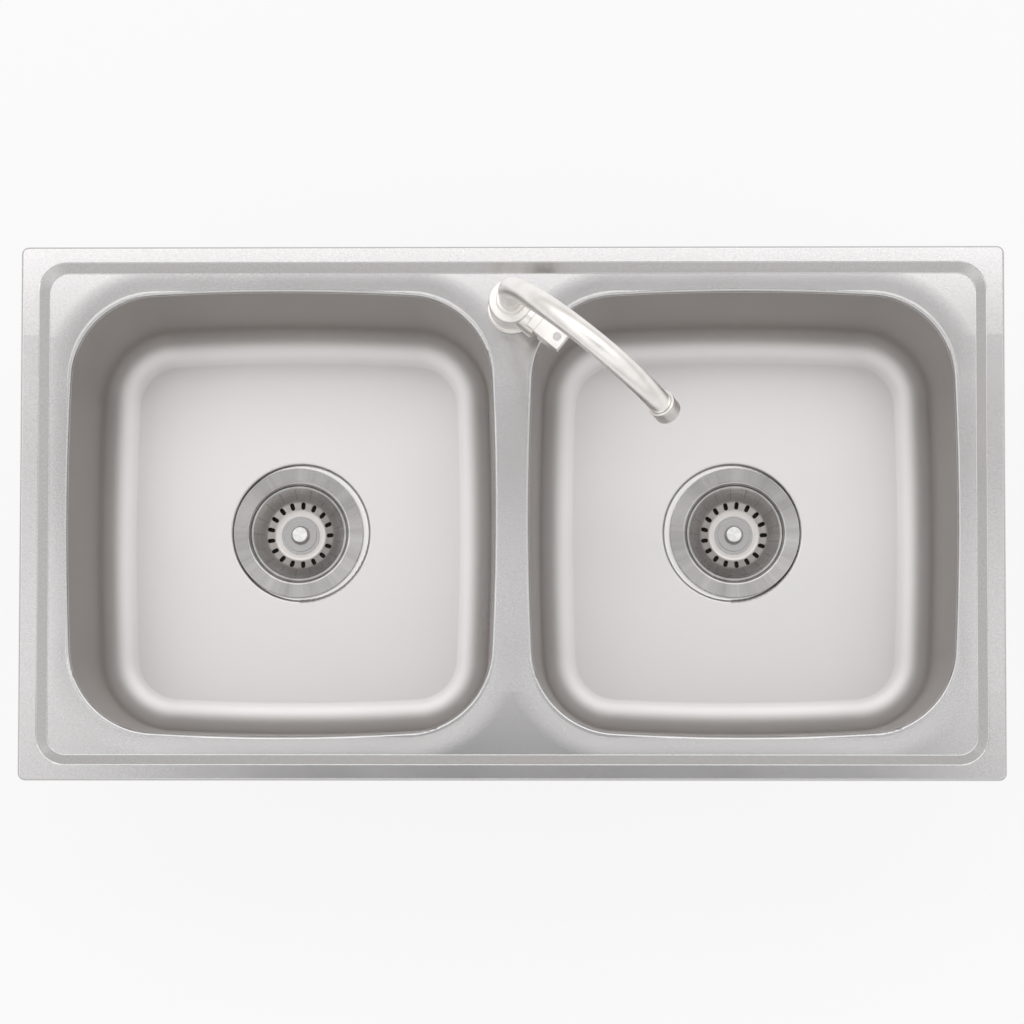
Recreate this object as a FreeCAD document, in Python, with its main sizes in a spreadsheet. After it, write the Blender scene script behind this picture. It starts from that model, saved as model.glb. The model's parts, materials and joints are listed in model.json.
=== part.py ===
import FreeCAD, Part
import math
import os
import Sketcher
from FreeCAD import Placement, Rotation, Vector

# Inset double bowl kitchen sink with basket strainers and a single lever mixer tap.
# Millimetres, +X along the sink, +Y to the rear where the tap stands, +Z up.
# The origin is the middle of the worktop cut-out, on the worktop's top face.

doc = FreeCAD.newDocument("double_bowl_sink")
sheet = doc.addObject("Spreadsheet::Sheet", "Sizes")

DRIVING_SIZES = (
    ("rim_length", 800.0, "overall length of the pressed rim"),
    ("rim_width", 435.0, "overall width of the pressed rim, front to rear"),
    ("rim_corner", 6.0, "radius of the rim's outer corners"),
    ("rim_height", 4.0, "rim top above the worktop"),
    ("rim_round", 2.0, "radius where the rim turns down at its edge"),
    ("gauge", 1.0, "thickness of the sink's sheet"),
    ("ledge_side", 14.8, "flat of the rim at the two ends"),
    ("ledge_front", 13.0, "flat of the rim at the front and the rear"),
    ("step_run", 8.0, "width of the sloped step inside the rim, seen from above"),
    ("step_depth", 6.0, "drop from the rim to the deck"),
    ("step_corner", 15.0, "corner radius at the foot of the step"),
    ("step_round", 1.6, "radius at the top and the foot of the step"),
    ("deck_side", 15.1, "deck between the step and a mouth, at the two ends"),
    ("deck_front", 15.3, "deck between the step and a mouth, at the front and the rear"),
    ("mouth_corner", 70.0, "corner radius of the mouths"),
    ("side_bow", 2400.0, "radius of the mouths' bowed left and right sides"),
    ("front_bow", 1800.0, "radius of the mouths' bowed front and rear sides"),
    ("divider", 28.2, "deck left between the two mouths"),
    ("mouth_round", 2.5, "radius where the deck rolls into a mouth"),
    ("lip_drop", 1.5, "straight part of the lip down to the weld"),
    ("bowl_depth", 160.0, "rim top to bowl floor"),
    ("draft_angle", 3.0, "lean of the bowl walls in degrees"),
    ("floor_round", 28.0, "inner radius between wall and floor"),
    ("recess_radius", 58.8, "pressed seat round the drain"),
    ("recess_depth", 4.0, "depth of the pressed seat"),
    ("recess_inset", 2.4, "seat's offset from the drain towards the divider"),
    ("recess_round", 1.2, "radii at the edges of the seat"),
    ("drain_radius", 45.4, "hole in the bowl floor"),
    ("pad_margin", 56.0, "edge of the sound pad inside the mouth"),
    ("pad_corner", 30.0, "corner radius of the sound pad"),
    ("pad_thickness", 3.0, "thickness of the sound pad"),
    ("pad_clearance", 4.0, "gap from the pad to the drain seat"),
    ("gasket_width", 8.0, "width of the foam strip under the rim"),
    ("gasket_inset", 1.0, "gap from the rim's turned edge to the foam strip"),
    ("worktop", 30.0, "thickness of the worktop that the clips grip"),
    ("clip_width", 16.0, "width of a clip along the sink's edge"),
    ("clip_gauge", 1.5, "thickness of the clip's sheet"),
    ("clip_reach", 11.0, "depth of a clip bracket, away from the bowl"),
    ("clip_drop", 14.0, "height of a clip bracket under the deck"),
    ("clip_overlap", 7.0, "hold of a hook's tip beyond the sloped step"),
    ("hook_tooth", 4.0, "height of the tip that bites the worktop"),
    ("clip_screw_radius", 2.5, "M5 clip screw"),
    ("clip_head_radius", 4.5, "head of the clip screw"),
    ("clip_head_height", 3.0, "height of the clip screw's head"),
    ("clip_spread", 100.0, "long side clips, either side of a bowl's middle"),
    ("flange_radius", 56.0, "visible flange of the strainer cup"),
    ("cup_gauge", 1.0, "thickness of the strainer cup"),
    ("cup_mouth_radius", 41.8, "inside of the cup under the flange"),
    ("cup_foot_radius", 39.8, "inside of the cup at its floor"),
    ("cup_depth", 26.0, "flange top to cup floor"),
    ("cup_round", 3.0, "radius where the flange turns into the cup"),
    ("dimple_radius", 8.0, "well in the cup floor for the screw's head"),
    ("dimple_depth", 5.0, "depth of that well"),
    ("drain_port_radius", 4.6, "round ports in the cup floor"),
    ("drain_port_circle", 14.4, "radius of the circle that the ports stand on"),
    ("drain_port_count", 7.0, "ports in the cup floor"),
    ("cup_seal_thickness", 1.5, "rubber ring between the flange and the bowl"),
    ("seal_inner_radius", 47.0, "inner radius of the rings above and below the bowl floor"),
    ("seal_width", 6.5, "width of those rings"),
    ("under_gasket_thickness", 2.0, "rubber ring under the bowl floor"),
    ("screw_radius", 4.0, "M8 centre screw"),
    ("screw_head_radius", 6.5, "head of the centre screw"),
    ("screw_head_height", 4.0, "height of that head"),
    ("screw_length", 19.0, "shank of the centre screw"),
    ("screw_socket", 3.0, "half width of the head's hexagon socket"),
    ("waste_wall", 2.5, "wall of the plastic waste body"),
    ("waste_height", 30.0, "waste body from its top face to the start of its cone"),
    ("waste_cone", 16.0, "height of the cone down to the outlet"),
    ("outlet_radius", 23.9, "outlet thread, G 1 1/2"),
    ("outlet_bore", 20.0, "inside of the outlet"),
    ("outlet_length", 26.0, "length of the outlet"),
    ("boss_radius", 7.5, "boss that takes the centre screw"),
    ("boss_height", 27.0, "height of that boss"),
    ("web_thickness", 2.5, "webs that carry the boss"),
    ("web_height", 11.0, "height of the webs, in the throat of the outlet"),
    ("basket_gauge", 0.8, "thickness of the basket"),
    ("basket_floor_radius", 21.0, "flat floor of the basket"),
    ("basket_waist_radius", 29.8, "radius where the perforated slope ends"),
    ("basket_waist_height", 4.6, "height of the perforated slope"),
    ("basket_wall_radius", 40.0, "top of the basket's wall"),
    ("basket_rim_radius", 41.0, "rolled rim of the basket"),
    ("basket_height", 19.0, "height of the basket"),
    ("basket_bend", 6.0, "inside radius of the basket's two bends"),
    ("slot_count", 17.0, "slots in the basket"),
    ("slot_inner_radius", 22.6, "inner end of a slot"),
    ("slot_outer_radius", 28.8, "outer end of a slot"),
    ("slot_width", 3.7, "width of a slot"),
    ("basket_seal_radius", 22.0, "rubber stopper under the basket"),
    ("basket_seal_thickness", 2.0, "thickness of the stopper"),
    ("basket_gap", 0.3, "stopper above the cup floor"),
    ("basket_seal_bore", 9.5, "hole in the stopper"),
    ("knob_base_radius", 16.5, "dished base of the knob"),
    ("knob_ring_radius", 14.0, "raised ring on that base"),
    ("knob_base_height", 1.2, "height of the base"),
    ("knob_ring_height", 2.4, "height of the raised ring"),
    ("knob_waist_radius", 4.6, "waist of the knob"),
    ("knob_waist_height", 5.0, "height at which the waist begins"),
    ("knob_grip_radius", 6.5, "top disc of the knob"),
    ("knob_grip_height", 8.4, "underside of the top disc"),
    ("knob_height", 10.6, "top of the knob above the basket floor"),
    ("rivet_radius", 5.0, "rivet head under the basket"),
    ("rivet_height", 1.5, "height of that rivet head"),
    ("stud_radius", 2.9, "stud through the basket floor"),
    ("tap_setback", 50.5, "tap axis from the rear edge of the rim"),
    ("tap_angle", -39.0, "direction of lever and spout, in degrees from +X"),
    ("tap_hole_radius", 17.5, "standard 35 mm hole in the deck"),
    ("base_seal_thickness", 1.0, "rubber ring under the base ring"),
    ("base_ring_radius", 20.5, "base ring on the deck"),
    ("base_ring_height", 4.0, "height of the base ring"),
    ("base_ring_chamfer", 1.2, "bevel of the base ring"),
    ("body_radius", 18.0, "tap body"),
    ("body_height", 37.0, "height of the tap body"),
    ("body_round", 2.0, "radius round the top of the tap body"),
    ("shank_radius", 14.0, "M28 fixing shank"),
    ("shank_bore", 11.5, "bore of the shank, for the two hoses"),
    ("shank_length", 52.0, "length of the shank"),
    ("shank_engagement", 8.0, "shank inside the tap body"),
    ("thread_gap", 0.05, "radial clearance in threads and running fits"),
    ("inlet_radius", 4.5, "M10 x 1 inlet for a hose"),
    ("inlet_depth", 10.0, "depth of an inlet"),
    ("inlet_spacing", 5.6, "inlet axes either side of the lever's plane"),
    ("inlet_setback", 2.0, "inlet axes behind the tap axis"),
    ("washer_radius", 24.0, "washers under the deck"),
    ("rubber_washer_thickness", 3.0, "rubber washer"),
    ("steel_washer_thickness", 2.0, "steel washer"),
    ("back_nut_flats", 18.0, "half the width across the back nut's flats"),
    ("back_nut_height", 9.0, "height of the back nut"),
    ("socket_radius", 11.0, "bore in the body top for the spout"),
    ("socket_depth", 17.0, "depth of that bore"),
    ("port_radius", 2.5, "passage from the cartridge to the spout"),
    ("feed_radius", 1.6, "passages from the inlets to the cartridge"),
    ("feed_drop", 7.8, "feed passages below the lever's axis"),
    ("spout_radius", 9.0, "spout tube"),
    ("spout_wall", 1.2, "wall of the spout tube"),
    ("spout_foot_gap", 1.0, "spout foot above the bottom of its bore"),
    ("spout_rise", 40.0, "straight riser of the spout above the tap body"),
    ("spout_bend", 83.0, "radius of the spout's arc"),
    ("spout_angle", 148.0, "turn of the arc in degrees"),
    ("o_ring_section", 0.9, "radius of an O-ring's section"),
    ("o_ring_pitch", 3.2, "spacing of the two O-rings"),
    ("bush_height", 6.0, "plastic bush round the spout foot"),
    ("nut_radius", 11.9, "collar nut that holds the spout"),
    ("nut_height", 4.6, "height of the collar nut above the body"),
    ("nut_skirt", 3.5, "part of the collar nut inside the body"),
    ("end_collar_radius", 11.2, "bead at the end of the spout"),
    ("end_collar_height", 3.0, "height of that bead"),
    ("aerator_radius", 10.8, "aerator housing"),
    ("aerator_height", 11.0, "height of the aerator housing"),
    ("aerator_wall", 1.3, "wall of the aerator housing"),
    ("insert_height", 7.0, "height of the aerator insert"),
    ("insert_recess", 0.8, "insert behind the housing's rim"),
    ("jet_radius", 1.1, "holes through the insert"),
    ("jet_count", 12.0, "outer ring of those holes"),
    ("boss_drop", 13.0, "axis of the lever boss below the top of the tap body"),
    ("lever_boss_radius", 12.5, "boss on the tap body"),
    ("lever_boss_reach", 29.0, "face of the boss from the tap axis"),
    ("cartridge_radius", 10.9, "cartridge"),
    ("cartridge_start", 13.2, "rear of the cartridge from the tap axis"),
    ("cartridge_plate", 3.8, "rear plate of the cartridge"),
    ("cartridge_length", 9.8, "length of the cartridge"),
    ("nut_lip", 1.0, "lip of the cartridge nut that keeps the carrier in"),
    ("carrier_radius", 8.6, "turning carrier that holds the stem"),
    ("carrier_length", 8.6, "length of the carrier"),
    ("carrier_slot_width", 7.3, "slot that lets the stem tilt"),
    ("carrier_slot_height", 13.0, "height of that slot"),
    ("pivot_reach", 21.5, "stem pivot from the tap axis"),
    ("pivot_pin_radius", 1.25, "pin through carrier and stem"),
    ("stem_radius", 3.5, "lever stem"),
    ("stem_start", 18.7, "inner end of the stem from the tap axis"),
    ("stem_end", 40.0, "outer end of the stem from the tap axis"),
    ("lever_tip", 55.0, "tip of the lever from the tap axis"),
    ("lever_tail", 22.5, "rear end of the lever's tongue"),
    ("lever_shoulder", 30.0, "start of the lever's block"),
    ("lever_root", 34.0, "rear face of the block under the tongue"),
    ("lever_belly", 44.0, "front end of the block's underside"),
    ("lever_width", 17.4, "width of the block"),
    ("tongue_width", 16.2, "width of the tongue"),
    ("tongue_step", 1.2, "top of the tongue below the top of the block"),
    ("lever_top", 19.0, "top of the lever above its axis"),
    ("tongue_thickness", 5.0, "thickness of the tongue"),
    ("lever_tip_height", 10.0, "height of the tip"),
    ("lever_drop", 7.0, "underside of the block below the lever's axis"),
    ("lever_round", 1.0, "rounded edges of the lever"),
    ("button_reach", 48.0, "index button from the tap axis"),
    ("button_radius", 3.4, "index button"),
    ("button_depth", 1.5, "recess for the button"),
    ("button_proud", 0.5, "button above the lever"),
    ("grub_radius", 2.0, "M4 grub screw"),
    ("grub_reach", 37.0, "grub screw from the tap axis"),
    ("solder_gap", 0.05, "clearance where a piece is pushed over another"),
)

for row, (alias, number, meaning) in enumerate(DRIVING_SIZES, 1):
    sheet.set("A%d" % row, meaning)
    sheet.set("B%d" % row, str(number))
    sheet.setAlias("B%d" % row, alias)
doc.recompute()


class Size:
    """A length, count or angle: its number and the sheet expression that gives it."""

    def __init__(self, number, text):
        self.number = float(number)
        self.text = text

    def __add__(self, other):
        other = sized(other)
        return Size(self.number + other.number, "(%s + %s)" % (self.text, other.text))

    def __sub__(self, other):
        other = sized(other)
        return Size(self.number - other.number, "(%s - %s)" % (self.text, other.text))

    def __mul__(self, other):
        other = sized(other)
        return Size(self.number * other.number, "(%s * %s)" % (self.text, other.text))

    def __truediv__(self, other):
        other = sized(other)
        return Size(self.number / other.number, "(%s / %s)" % (self.text, other.text))

    def __neg__(self):
        return Size(-self.number, "(0 - %s)" % self.text)


def sized(value):
    """Turns a plain number into a Size."""
    if isinstance(value, Size):
        return value
    return Size(value, "%r" % float(value))


def cosine(angle):
    return Size(math.cos(math.radians(angle.number)), "cos(%s)" % angle.text)


def sine(angle):
    return Size(math.sin(math.radians(angle.number)), "sin(%s)" % angle.text)


def slope_angle(run, rise):
    """The angle in degrees whose tangent is run over rise."""
    degrees = math.degrees(math.atan2(run.number, rise.number))
    return Size(degrees, "atan2(%s; %s)" % (run.text, rise.text))


class Sizes:
    """The driving sizes by name."""


S = Sizes()
for alias, number, meaning in DRIVING_SIZES:
    setattr(S, alias, Size(number, "Sizes.%s" % alias))

ZERO = Size(0.0, "0")
HALF_TURN = 180.0
HEXAGON_SIDES = 6
INNER_JETS = 6
OUTER_JET_RING = 0.68
INNER_JET_RING = 0.34

# Levels above the worktop.
rim_top = S.rim_height
deck_top = S.rim_height - S.step_depth
deck_under = deck_top - S.gauge
weld_level = deck_top - S.mouth_round - S.lip_drop
floor_top = S.rim_height - S.bowl_depth
floor_under = floor_top - S.gauge
seat_top = floor_top - S.recess_depth
seat_under = seat_top - S.gauge
flange_under = seat_top + S.cup_seal_thickness
flange_top = flange_under + S.cup_gauge
cup_floor_top = flange_top - S.cup_depth
cup_bottom = cup_floor_top - S.cup_gauge - S.dimple_depth
gasket_bottom = seat_under - S.under_gasket_thickness
waste_bottom = gasket_bottom - S.waste_height - S.waste_cone - S.outlet_length
basket_under = cup_floor_top + S.basket_gap + S.basket_seal_thickness

# Places in plan.
half_length = S.rim_length / 2
half_width = S.rim_width / 2
step_top_x = half_length - S.ledge_side
step_top_y = half_width - S.ledge_front
step_foot_x = step_top_x - S.step_run
step_foot_y = step_top_y - S.step_run
mouth_length = step_foot_x - S.deck_side - S.divider / 2
mouth_width = (step_foot_y - S.deck_front) * 2
mouth_x = (S.divider + mouth_length) / 2
tap_y = half_width - S.tap_setback

# Levels of the tap.
base_ring_bottom = deck_top + S.base_seal_thickness
body_bottom = base_ring_bottom + S.base_ring_height
body_top = body_bottom + S.body_height
socket_bottom = body_top - S.socket_depth
spout_foot = socket_bottom + S.spout_foot_gap
riser_top = body_top + S.spout_rise
lever_axis = body_top - S.boss_drop


# --- building blocks -------------------------------------------------------------------


def bind(item, name, size):
    """Ties a property to the sheet."""
    item.setExpression(name, size.text)


def set_and_bind(item, name, size):
    setattr(item, name, size.number)
    item.setExpression(name, size.text)


def new_body(label):
    body = doc.addObject("PartDesign::Body", label)
    body.Label = label
    return body


def place(item, x=ZERO, y=ZERO, z=ZERO, turn=None):
    """Seats a piece: its local origin goes to x, y, z and it turns about +Z."""
    angle = turn.number if turn else 0.0
    spin = Rotation(Vector(0, 0, 1), angle)
    item.Placement = Placement(Vector(x.number, y.number, z.number), spin)
    bind(item, "Placement.Base.x", x)
    bind(item, "Placement.Base.y", y)
    bind(item, "Placement.Base.z", z)


def origin_plane(body, role):
    for item in body.Origin.OriginFeatures:
        if item.Role == role:
            return item
    raise ValueError("no plane " + role)


def new_sketch(body, role, name, height=ZERO):
    """A sketch on one of the body's own planes, raised along the plane's normal."""
    sketch = body.newObject("Sketcher::SketchObject", name)
    sketch.AttachmentSupport = [(origin_plane(body, role), "")]
    sketch.MapMode = "FlatFace"
    sketch.AttachmentOffset = Placement(Vector(0, 0, height.number), Rotation())
    bind(sketch, "AttachmentOffset.Base.z", height)
    return sketch


def constrain(sketch, *words):
    return sketch.addConstraint(Sketcher.Constraint(*words))


def dimension(sketch, kind, size, *points):
    """A driving dimension of the sketch, tied to the sheet."""
    index = constrain(sketch, kind, *points, size.number)
    sketch.setExpression("Constraints[%d]" % index, size.text)


def locate(sketch, element, end, x, y):
    """Holds a point of the sketch at x, y from the sketch's origin."""
    for kind, axis, size in (("DistanceX", -2, x), ("DistanceY", -1, y)):
        if size.number == 0.0:
            constrain(sketch, "PointOnObject", element, end, axis)
        elif size.number > 0.0:
            dimension(sketch, kind, size, -1, 1, element, end)
        else:
            dimension(sketch, kind, -size, element, end, -1, 1)


def polygon(sketch, points):
    """A closed outline of straight lines whose corners are pairs of sizes."""
    first = sketch.GeometryCount
    count = len(points)
    for index in range(count):
        start = points[index]
        finish = points[(index + 1) % count]
        sketch.addGeometry(
            Part.LineSegment(
                Vector(start[0].number, start[1].number, 0),
                Vector(finish[0].number, finish[1].number, 0),
            ),
            False,
        )
    for index in range(count):
        constrain(sketch, "Coincident", first + index, 2, first + (index + 1) % count, 1)
    for index, (x, y) in enumerate(points):
        locate(sketch, first + index, 1, x, y)


def hexagon(sketch, half):
    """A hexagon with two corners on the x axis, given by half its width across the flats."""
    corner = half / cosine(sized(HALF_TURN / HEXAGON_SIDES))
    polygon(
        sketch,
        (
            (corner, ZERO),
            (corner / 2, half),
            (-corner / 2, half),
            (-corner, ZERO),
            (-corner / 2, -half),
            (corner / 2, -half),
        ),
    )


def box_outline(sketch, low_x, high_x, low_y, high_y):
    polygon(sketch, ((low_x, low_y), (high_x, low_y), (high_x, high_y), (low_x, high_y)))


def circle(sketch, radius, x=ZERO, y=ZERO):
    index = sketch.addGeometry(
        Part.Circle(Vector(x.number, y.number, 0), Vector(0, 0, 1), radius.number), False
    )
    dimension(sketch, "Radius", radius, index)
    locate(sketch, index, 3, x, y)


def ring(sketch, outer, inner, x=ZERO, y=ZERO):
    circle(sketch, outer, x, y)
    circle(sketch, inner, x, y)


def arc(sketch, x, y, radius, start, finish):
    """Adds an arc between two angles in radians."""
    whole = Part.Circle(Vector(x, y, 0), Vector(0, 0, 1), radius)
    return sketch.addGeometry(Part.ArcOfCircle(whole, start, finish), False)


def join_round(sketch, first, count):
    """Joins the pieces of an outline end to start, each tangent to the next."""
    for index in range(count):
        constrain(sketch, "Tangent", first + index, 2, first + (index + 1) % count, 1)


def rounded_rectangle(sketch, half_x, half_y, corner):
    """A rectangle round the origin with four equal corner arcs."""
    first = sketch.GeometryCount
    wide = half_x.number
    deep = half_y.number
    radius = corner.number
    turns = ((1, 1), (-1, 1), (-1, -1), (1, -1))
    for index, (side, end) in enumerate(turns):
        centre_x = side * (wide - radius)
        centre_y = end * (deep - radius)
        start = index * math.pi / 2
        arc(sketch, centre_x, centre_y, radius, start, start + math.pi / 2)
        leave = Vector(math.cos(start + math.pi / 2), math.sin(start + math.pi / 2), 0) * radius
        follow_side, follow_end = turns[(index + 1) % 4]
        follow = Vector(follow_side * (wide - radius), follow_end * (deep - radius), 0)
        begin = Vector(centre_x, centre_y, 0) + leave
        sketch.addGeometry(Part.LineSegment(begin, follow + leave), False)
    join_round(sketch, first, 8)
    for index in (2, 4, 6):
        constrain(sketch, "Equal", first, first + index)
    for index in (1, 5):
        constrain(sketch, "Horizontal", first + index)
    for index in (3, 7):
        constrain(sketch, "Vertical", first + index)
    dimension(sketch, "Radius", corner, first)
    dimension(sketch, "DistanceY", half_y, -1, 1, first + 1, 1)
    dimension(sketch, "DistanceX", half_x, first + 3, 1, -1, 1)
    dimension(sketch, "DistanceY", half_y, first + 5, 1, -1, 1)
    dimension(sketch, "DistanceX", half_x, -1, 1, first + 7, 1)


def pill(sketch, start, finish, half):
    """A slot along the sketch's first axis, with a round at either end."""
    first = sketch.GeometryCount
    near = start + half
    far = finish - half
    quarter = math.pi / 2
    top = half.number
    arc(sketch, far.number, 0, half.number, -quarter, quarter)
    sketch.addGeometry(
        Part.LineSegment(Vector(far.number, top, 0), Vector(near.number, top, 0)), False
    )
    arc(sketch, near.number, 0, half.number, quarter, 3 * quarter)
    sketch.addGeometry(
        Part.LineSegment(Vector(near.number, -top, 0), Vector(far.number, -top, 0)), False
    )
    join_round(sketch, first, 4)
    constrain(sketch, "Equal", first, first + 2)
    dimension(sketch, "Radius", half, first)
    locate(sketch, first, 3, far, ZERO)
    locate(sketch, first + 2, 3, near, ZERO)


def bowed_corner(half_x, half_y, side_radius, front_radius, corner):
    """Centre of the corner arc that touches a bowed side and a bowed front from inside."""
    front_centre = half_y - front_radius
    side_centre = half_x - side_radius
    to_front = front_radius - corner
    to_side = side_radius - corner
    between = math.hypot(side_centre, front_centre)
    along = (to_front ** 2 - to_side ** 2 + between ** 2) / (2 * between)
    across = math.sqrt(to_front ** 2 - along ** 2)
    x = along * side_centre / between + across * -front_centre / between
    y = front_centre - along * front_centre / between + across * -side_centre / between
    return x, y


def mouth_outline(sketch, grow=ZERO, centre=ZERO):
    """The mouth of a bowl: four bowed sides and four corner arcs, all tangent."""
    half_x = mouth_length / 2 + grow
    half_y = mouth_width / 2 + grow
    side = S.side_bow + grow
    front = S.front_bow + grow
    corner = S.mouth_corner + grow
    x, y = bowed_corner(half_x.number, half_y.number, side.number, front.number, corner.number)
    middle = centre.number
    side_x = half_x.number - side.number
    front_y = half_y.number - front.number
    to_front = math.atan2(y - front_y, x)
    to_side = math.atan2(y, x - side_x)
    turn = math.pi
    first = sketch.GeometryCount
    arc(sketch, middle, front_y, front.number, to_front, turn - to_front)
    arc(sketch, middle - x, y, corner.number, turn - to_front, turn - to_side)
    arc(sketch, middle - side_x, 0, side.number, turn - to_side, turn + to_side)
    arc(sketch, middle - x, -y, corner.number, turn + to_side, turn + to_front)
    arc(sketch, middle, -front_y, front.number, turn + to_front, 2 * turn - to_front)
    arc(sketch, middle + x, -y, corner.number, -to_front, -to_side)
    arc(sketch, middle + side_x, 0, side.number, -to_side, to_side)
    arc(sketch, middle + x, y, corner.number, to_side, to_front)
    join_round(sketch, first, 8)
    for index in (3, 5, 7):
        constrain(sketch, "Equal", first + 1, first + index)
    constrain(sketch, "Equal", first, first + 4)
    constrain(sketch, "Equal", first + 2, first + 6)
    dimension(sketch, "Radius", corner, first + 1)
    dimension(sketch, "Radius", front, first)
    dimension(sketch, "Radius", side, first + 2)
    locate(sketch, first, 3, centre, half_y - front)
    locate(sketch, first + 4, 3, centre, front - half_y)
    locate(sketch, first + 2, 3, centre + side - half_x, ZERO)
    locate(sketch, first + 6, 3, centre + half_x - side, ZERO)


def finish_feature(feature, body):
    doc.recompute()
    body.Tip = feature
    return feature


def pad(body, sketch, length, name, down=False):
    feature = body.newObject("PartDesign::Pad", name)
    feature.Profile = sketch
    set_and_bind(feature, "Length", length)
    feature.Reversed = down
    return finish_feature(feature, body)


def pad_both_ways(body, sketch, length, name):
    feature = body.newObject("PartDesign::Pad", name)
    feature.Profile = sketch
    feature.Midplane = True
    set_and_bind(feature, "Length", length)
    return finish_feature(feature, body)


def pocket(body, sketch, depth, name, up=False):
    """Cuts from the sketch against its normal, or along it; it has to remove something."""
    before = body.Tip.Shape.Volume
    feature = body.newObject("PartDesign::Pocket", name)
    feature.Profile = sketch
    set_and_bind(feature, "Length", depth)
    feature.Reversed = up
    finish_feature(feature, body)
    if feature.Shape.Volume >= before - 1e-6:
        raise ValueError(body.Label + ": " + name + " cuts nothing")
    return feature


def polar_copies(body, feature, count, name):
    """Repeats a feature evenly round the body's own Z axis."""
    pattern = body.newObject("PartDesign::PolarPattern", name)
    pattern.Originals = [feature]
    for item in body.Origin.OriginFeatures:
        if item.Role == "Z_Axis":
            pattern.Axis = (item, [""])
    pattern.Angle = 360
    pattern.Occurrences = int(count.number)
    bind(pattern, "Occurrences", count)
    return finish_feature(pattern, body)


def edge_names(shape, wanted):
    return ["Edge%d" % (index + 1) for index, edge in enumerate(shape.Edges) if wanted(edge)]


def face_names(shape, wanted):
    return ["Face%d" % (index + 1) for index, face in enumerate(shape.Faces) if wanted(face)]


def round_edges(body, wanted, radius, name):
    base = body.Tip
    feature = body.newObject("PartDesign::Fillet", name)
    feature.Base = (base, edge_names(base.Shape, wanted))
    set_and_bind(feature, "Radius", radius)
    return finish_feature(feature, body)


def bevel_edges(body, wanted, size, name):
    base = body.Tip
    feature = body.newObject("PartDesign::Chamfer", name)
    feature.Base = (base, edge_names(base.Shape, wanted))
    set_and_bind(feature, "Size", size)
    return finish_feature(feature, body)


def at_level(level):
    """Picks the level edges and faces at a height in the body's own frame."""

    def wanted(item):
        box = item.BoundBox
        return box.ZLength < 1e-4 and abs(box.ZMin - level.number) < 1e-4

    return wanted


def circle_at(level, radius):
    """Picks the round edges of one radius at one height."""
    level_test = at_level(level)

    def wanted(edge):
        if not level_test(edge) or not hasattr(edge.Curve, "Radius"):
            return False
        return abs(edge.Curve.Radius - radius.number) < 1e-4

    return wanted


def turned(label, profile, axis="V_Axis"):
    """A piece turned on a lathe: profile holds (radius, height) or (along, radius) pairs."""
    body = new_body(label)
    sketch = new_sketch(body, "XZ_Plane", label + "_profile")
    polygon(sketch, profile)
    feature = body.newObject("PartDesign::Revolution", label + "_turned")
    feature.Profile = sketch
    feature.ReferenceAxis = (sketch, [axis])
    feature.Angle = 360
    finish_feature(feature, body)
    return body


def tube_profile(inner, outer, low, high):
    return ((inner, low), (outer, low), (outer, high), (inner, high))


def rod_profile(radius, start, end):
    """Half section of a rod that lies along the sketch's first axis."""
    return ((start, ZERO), (end, ZERO), (end, radius), (start, radius))


# --- the sink --------------------------------------------------------------------------


def near_outline(edge, half_x, half_y, slack):
    """True for an edge that reaches a rectangle of these half sizes round the origin."""
    box = edge.BoundBox
    reach_x = max(abs(box.XMin), abs(box.XMax))
    reach_y = max(abs(box.YMin), abs(box.YMax))
    return abs(reach_x - half_x.number) < slack or abs(reach_y - half_y.number) < slack


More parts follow.
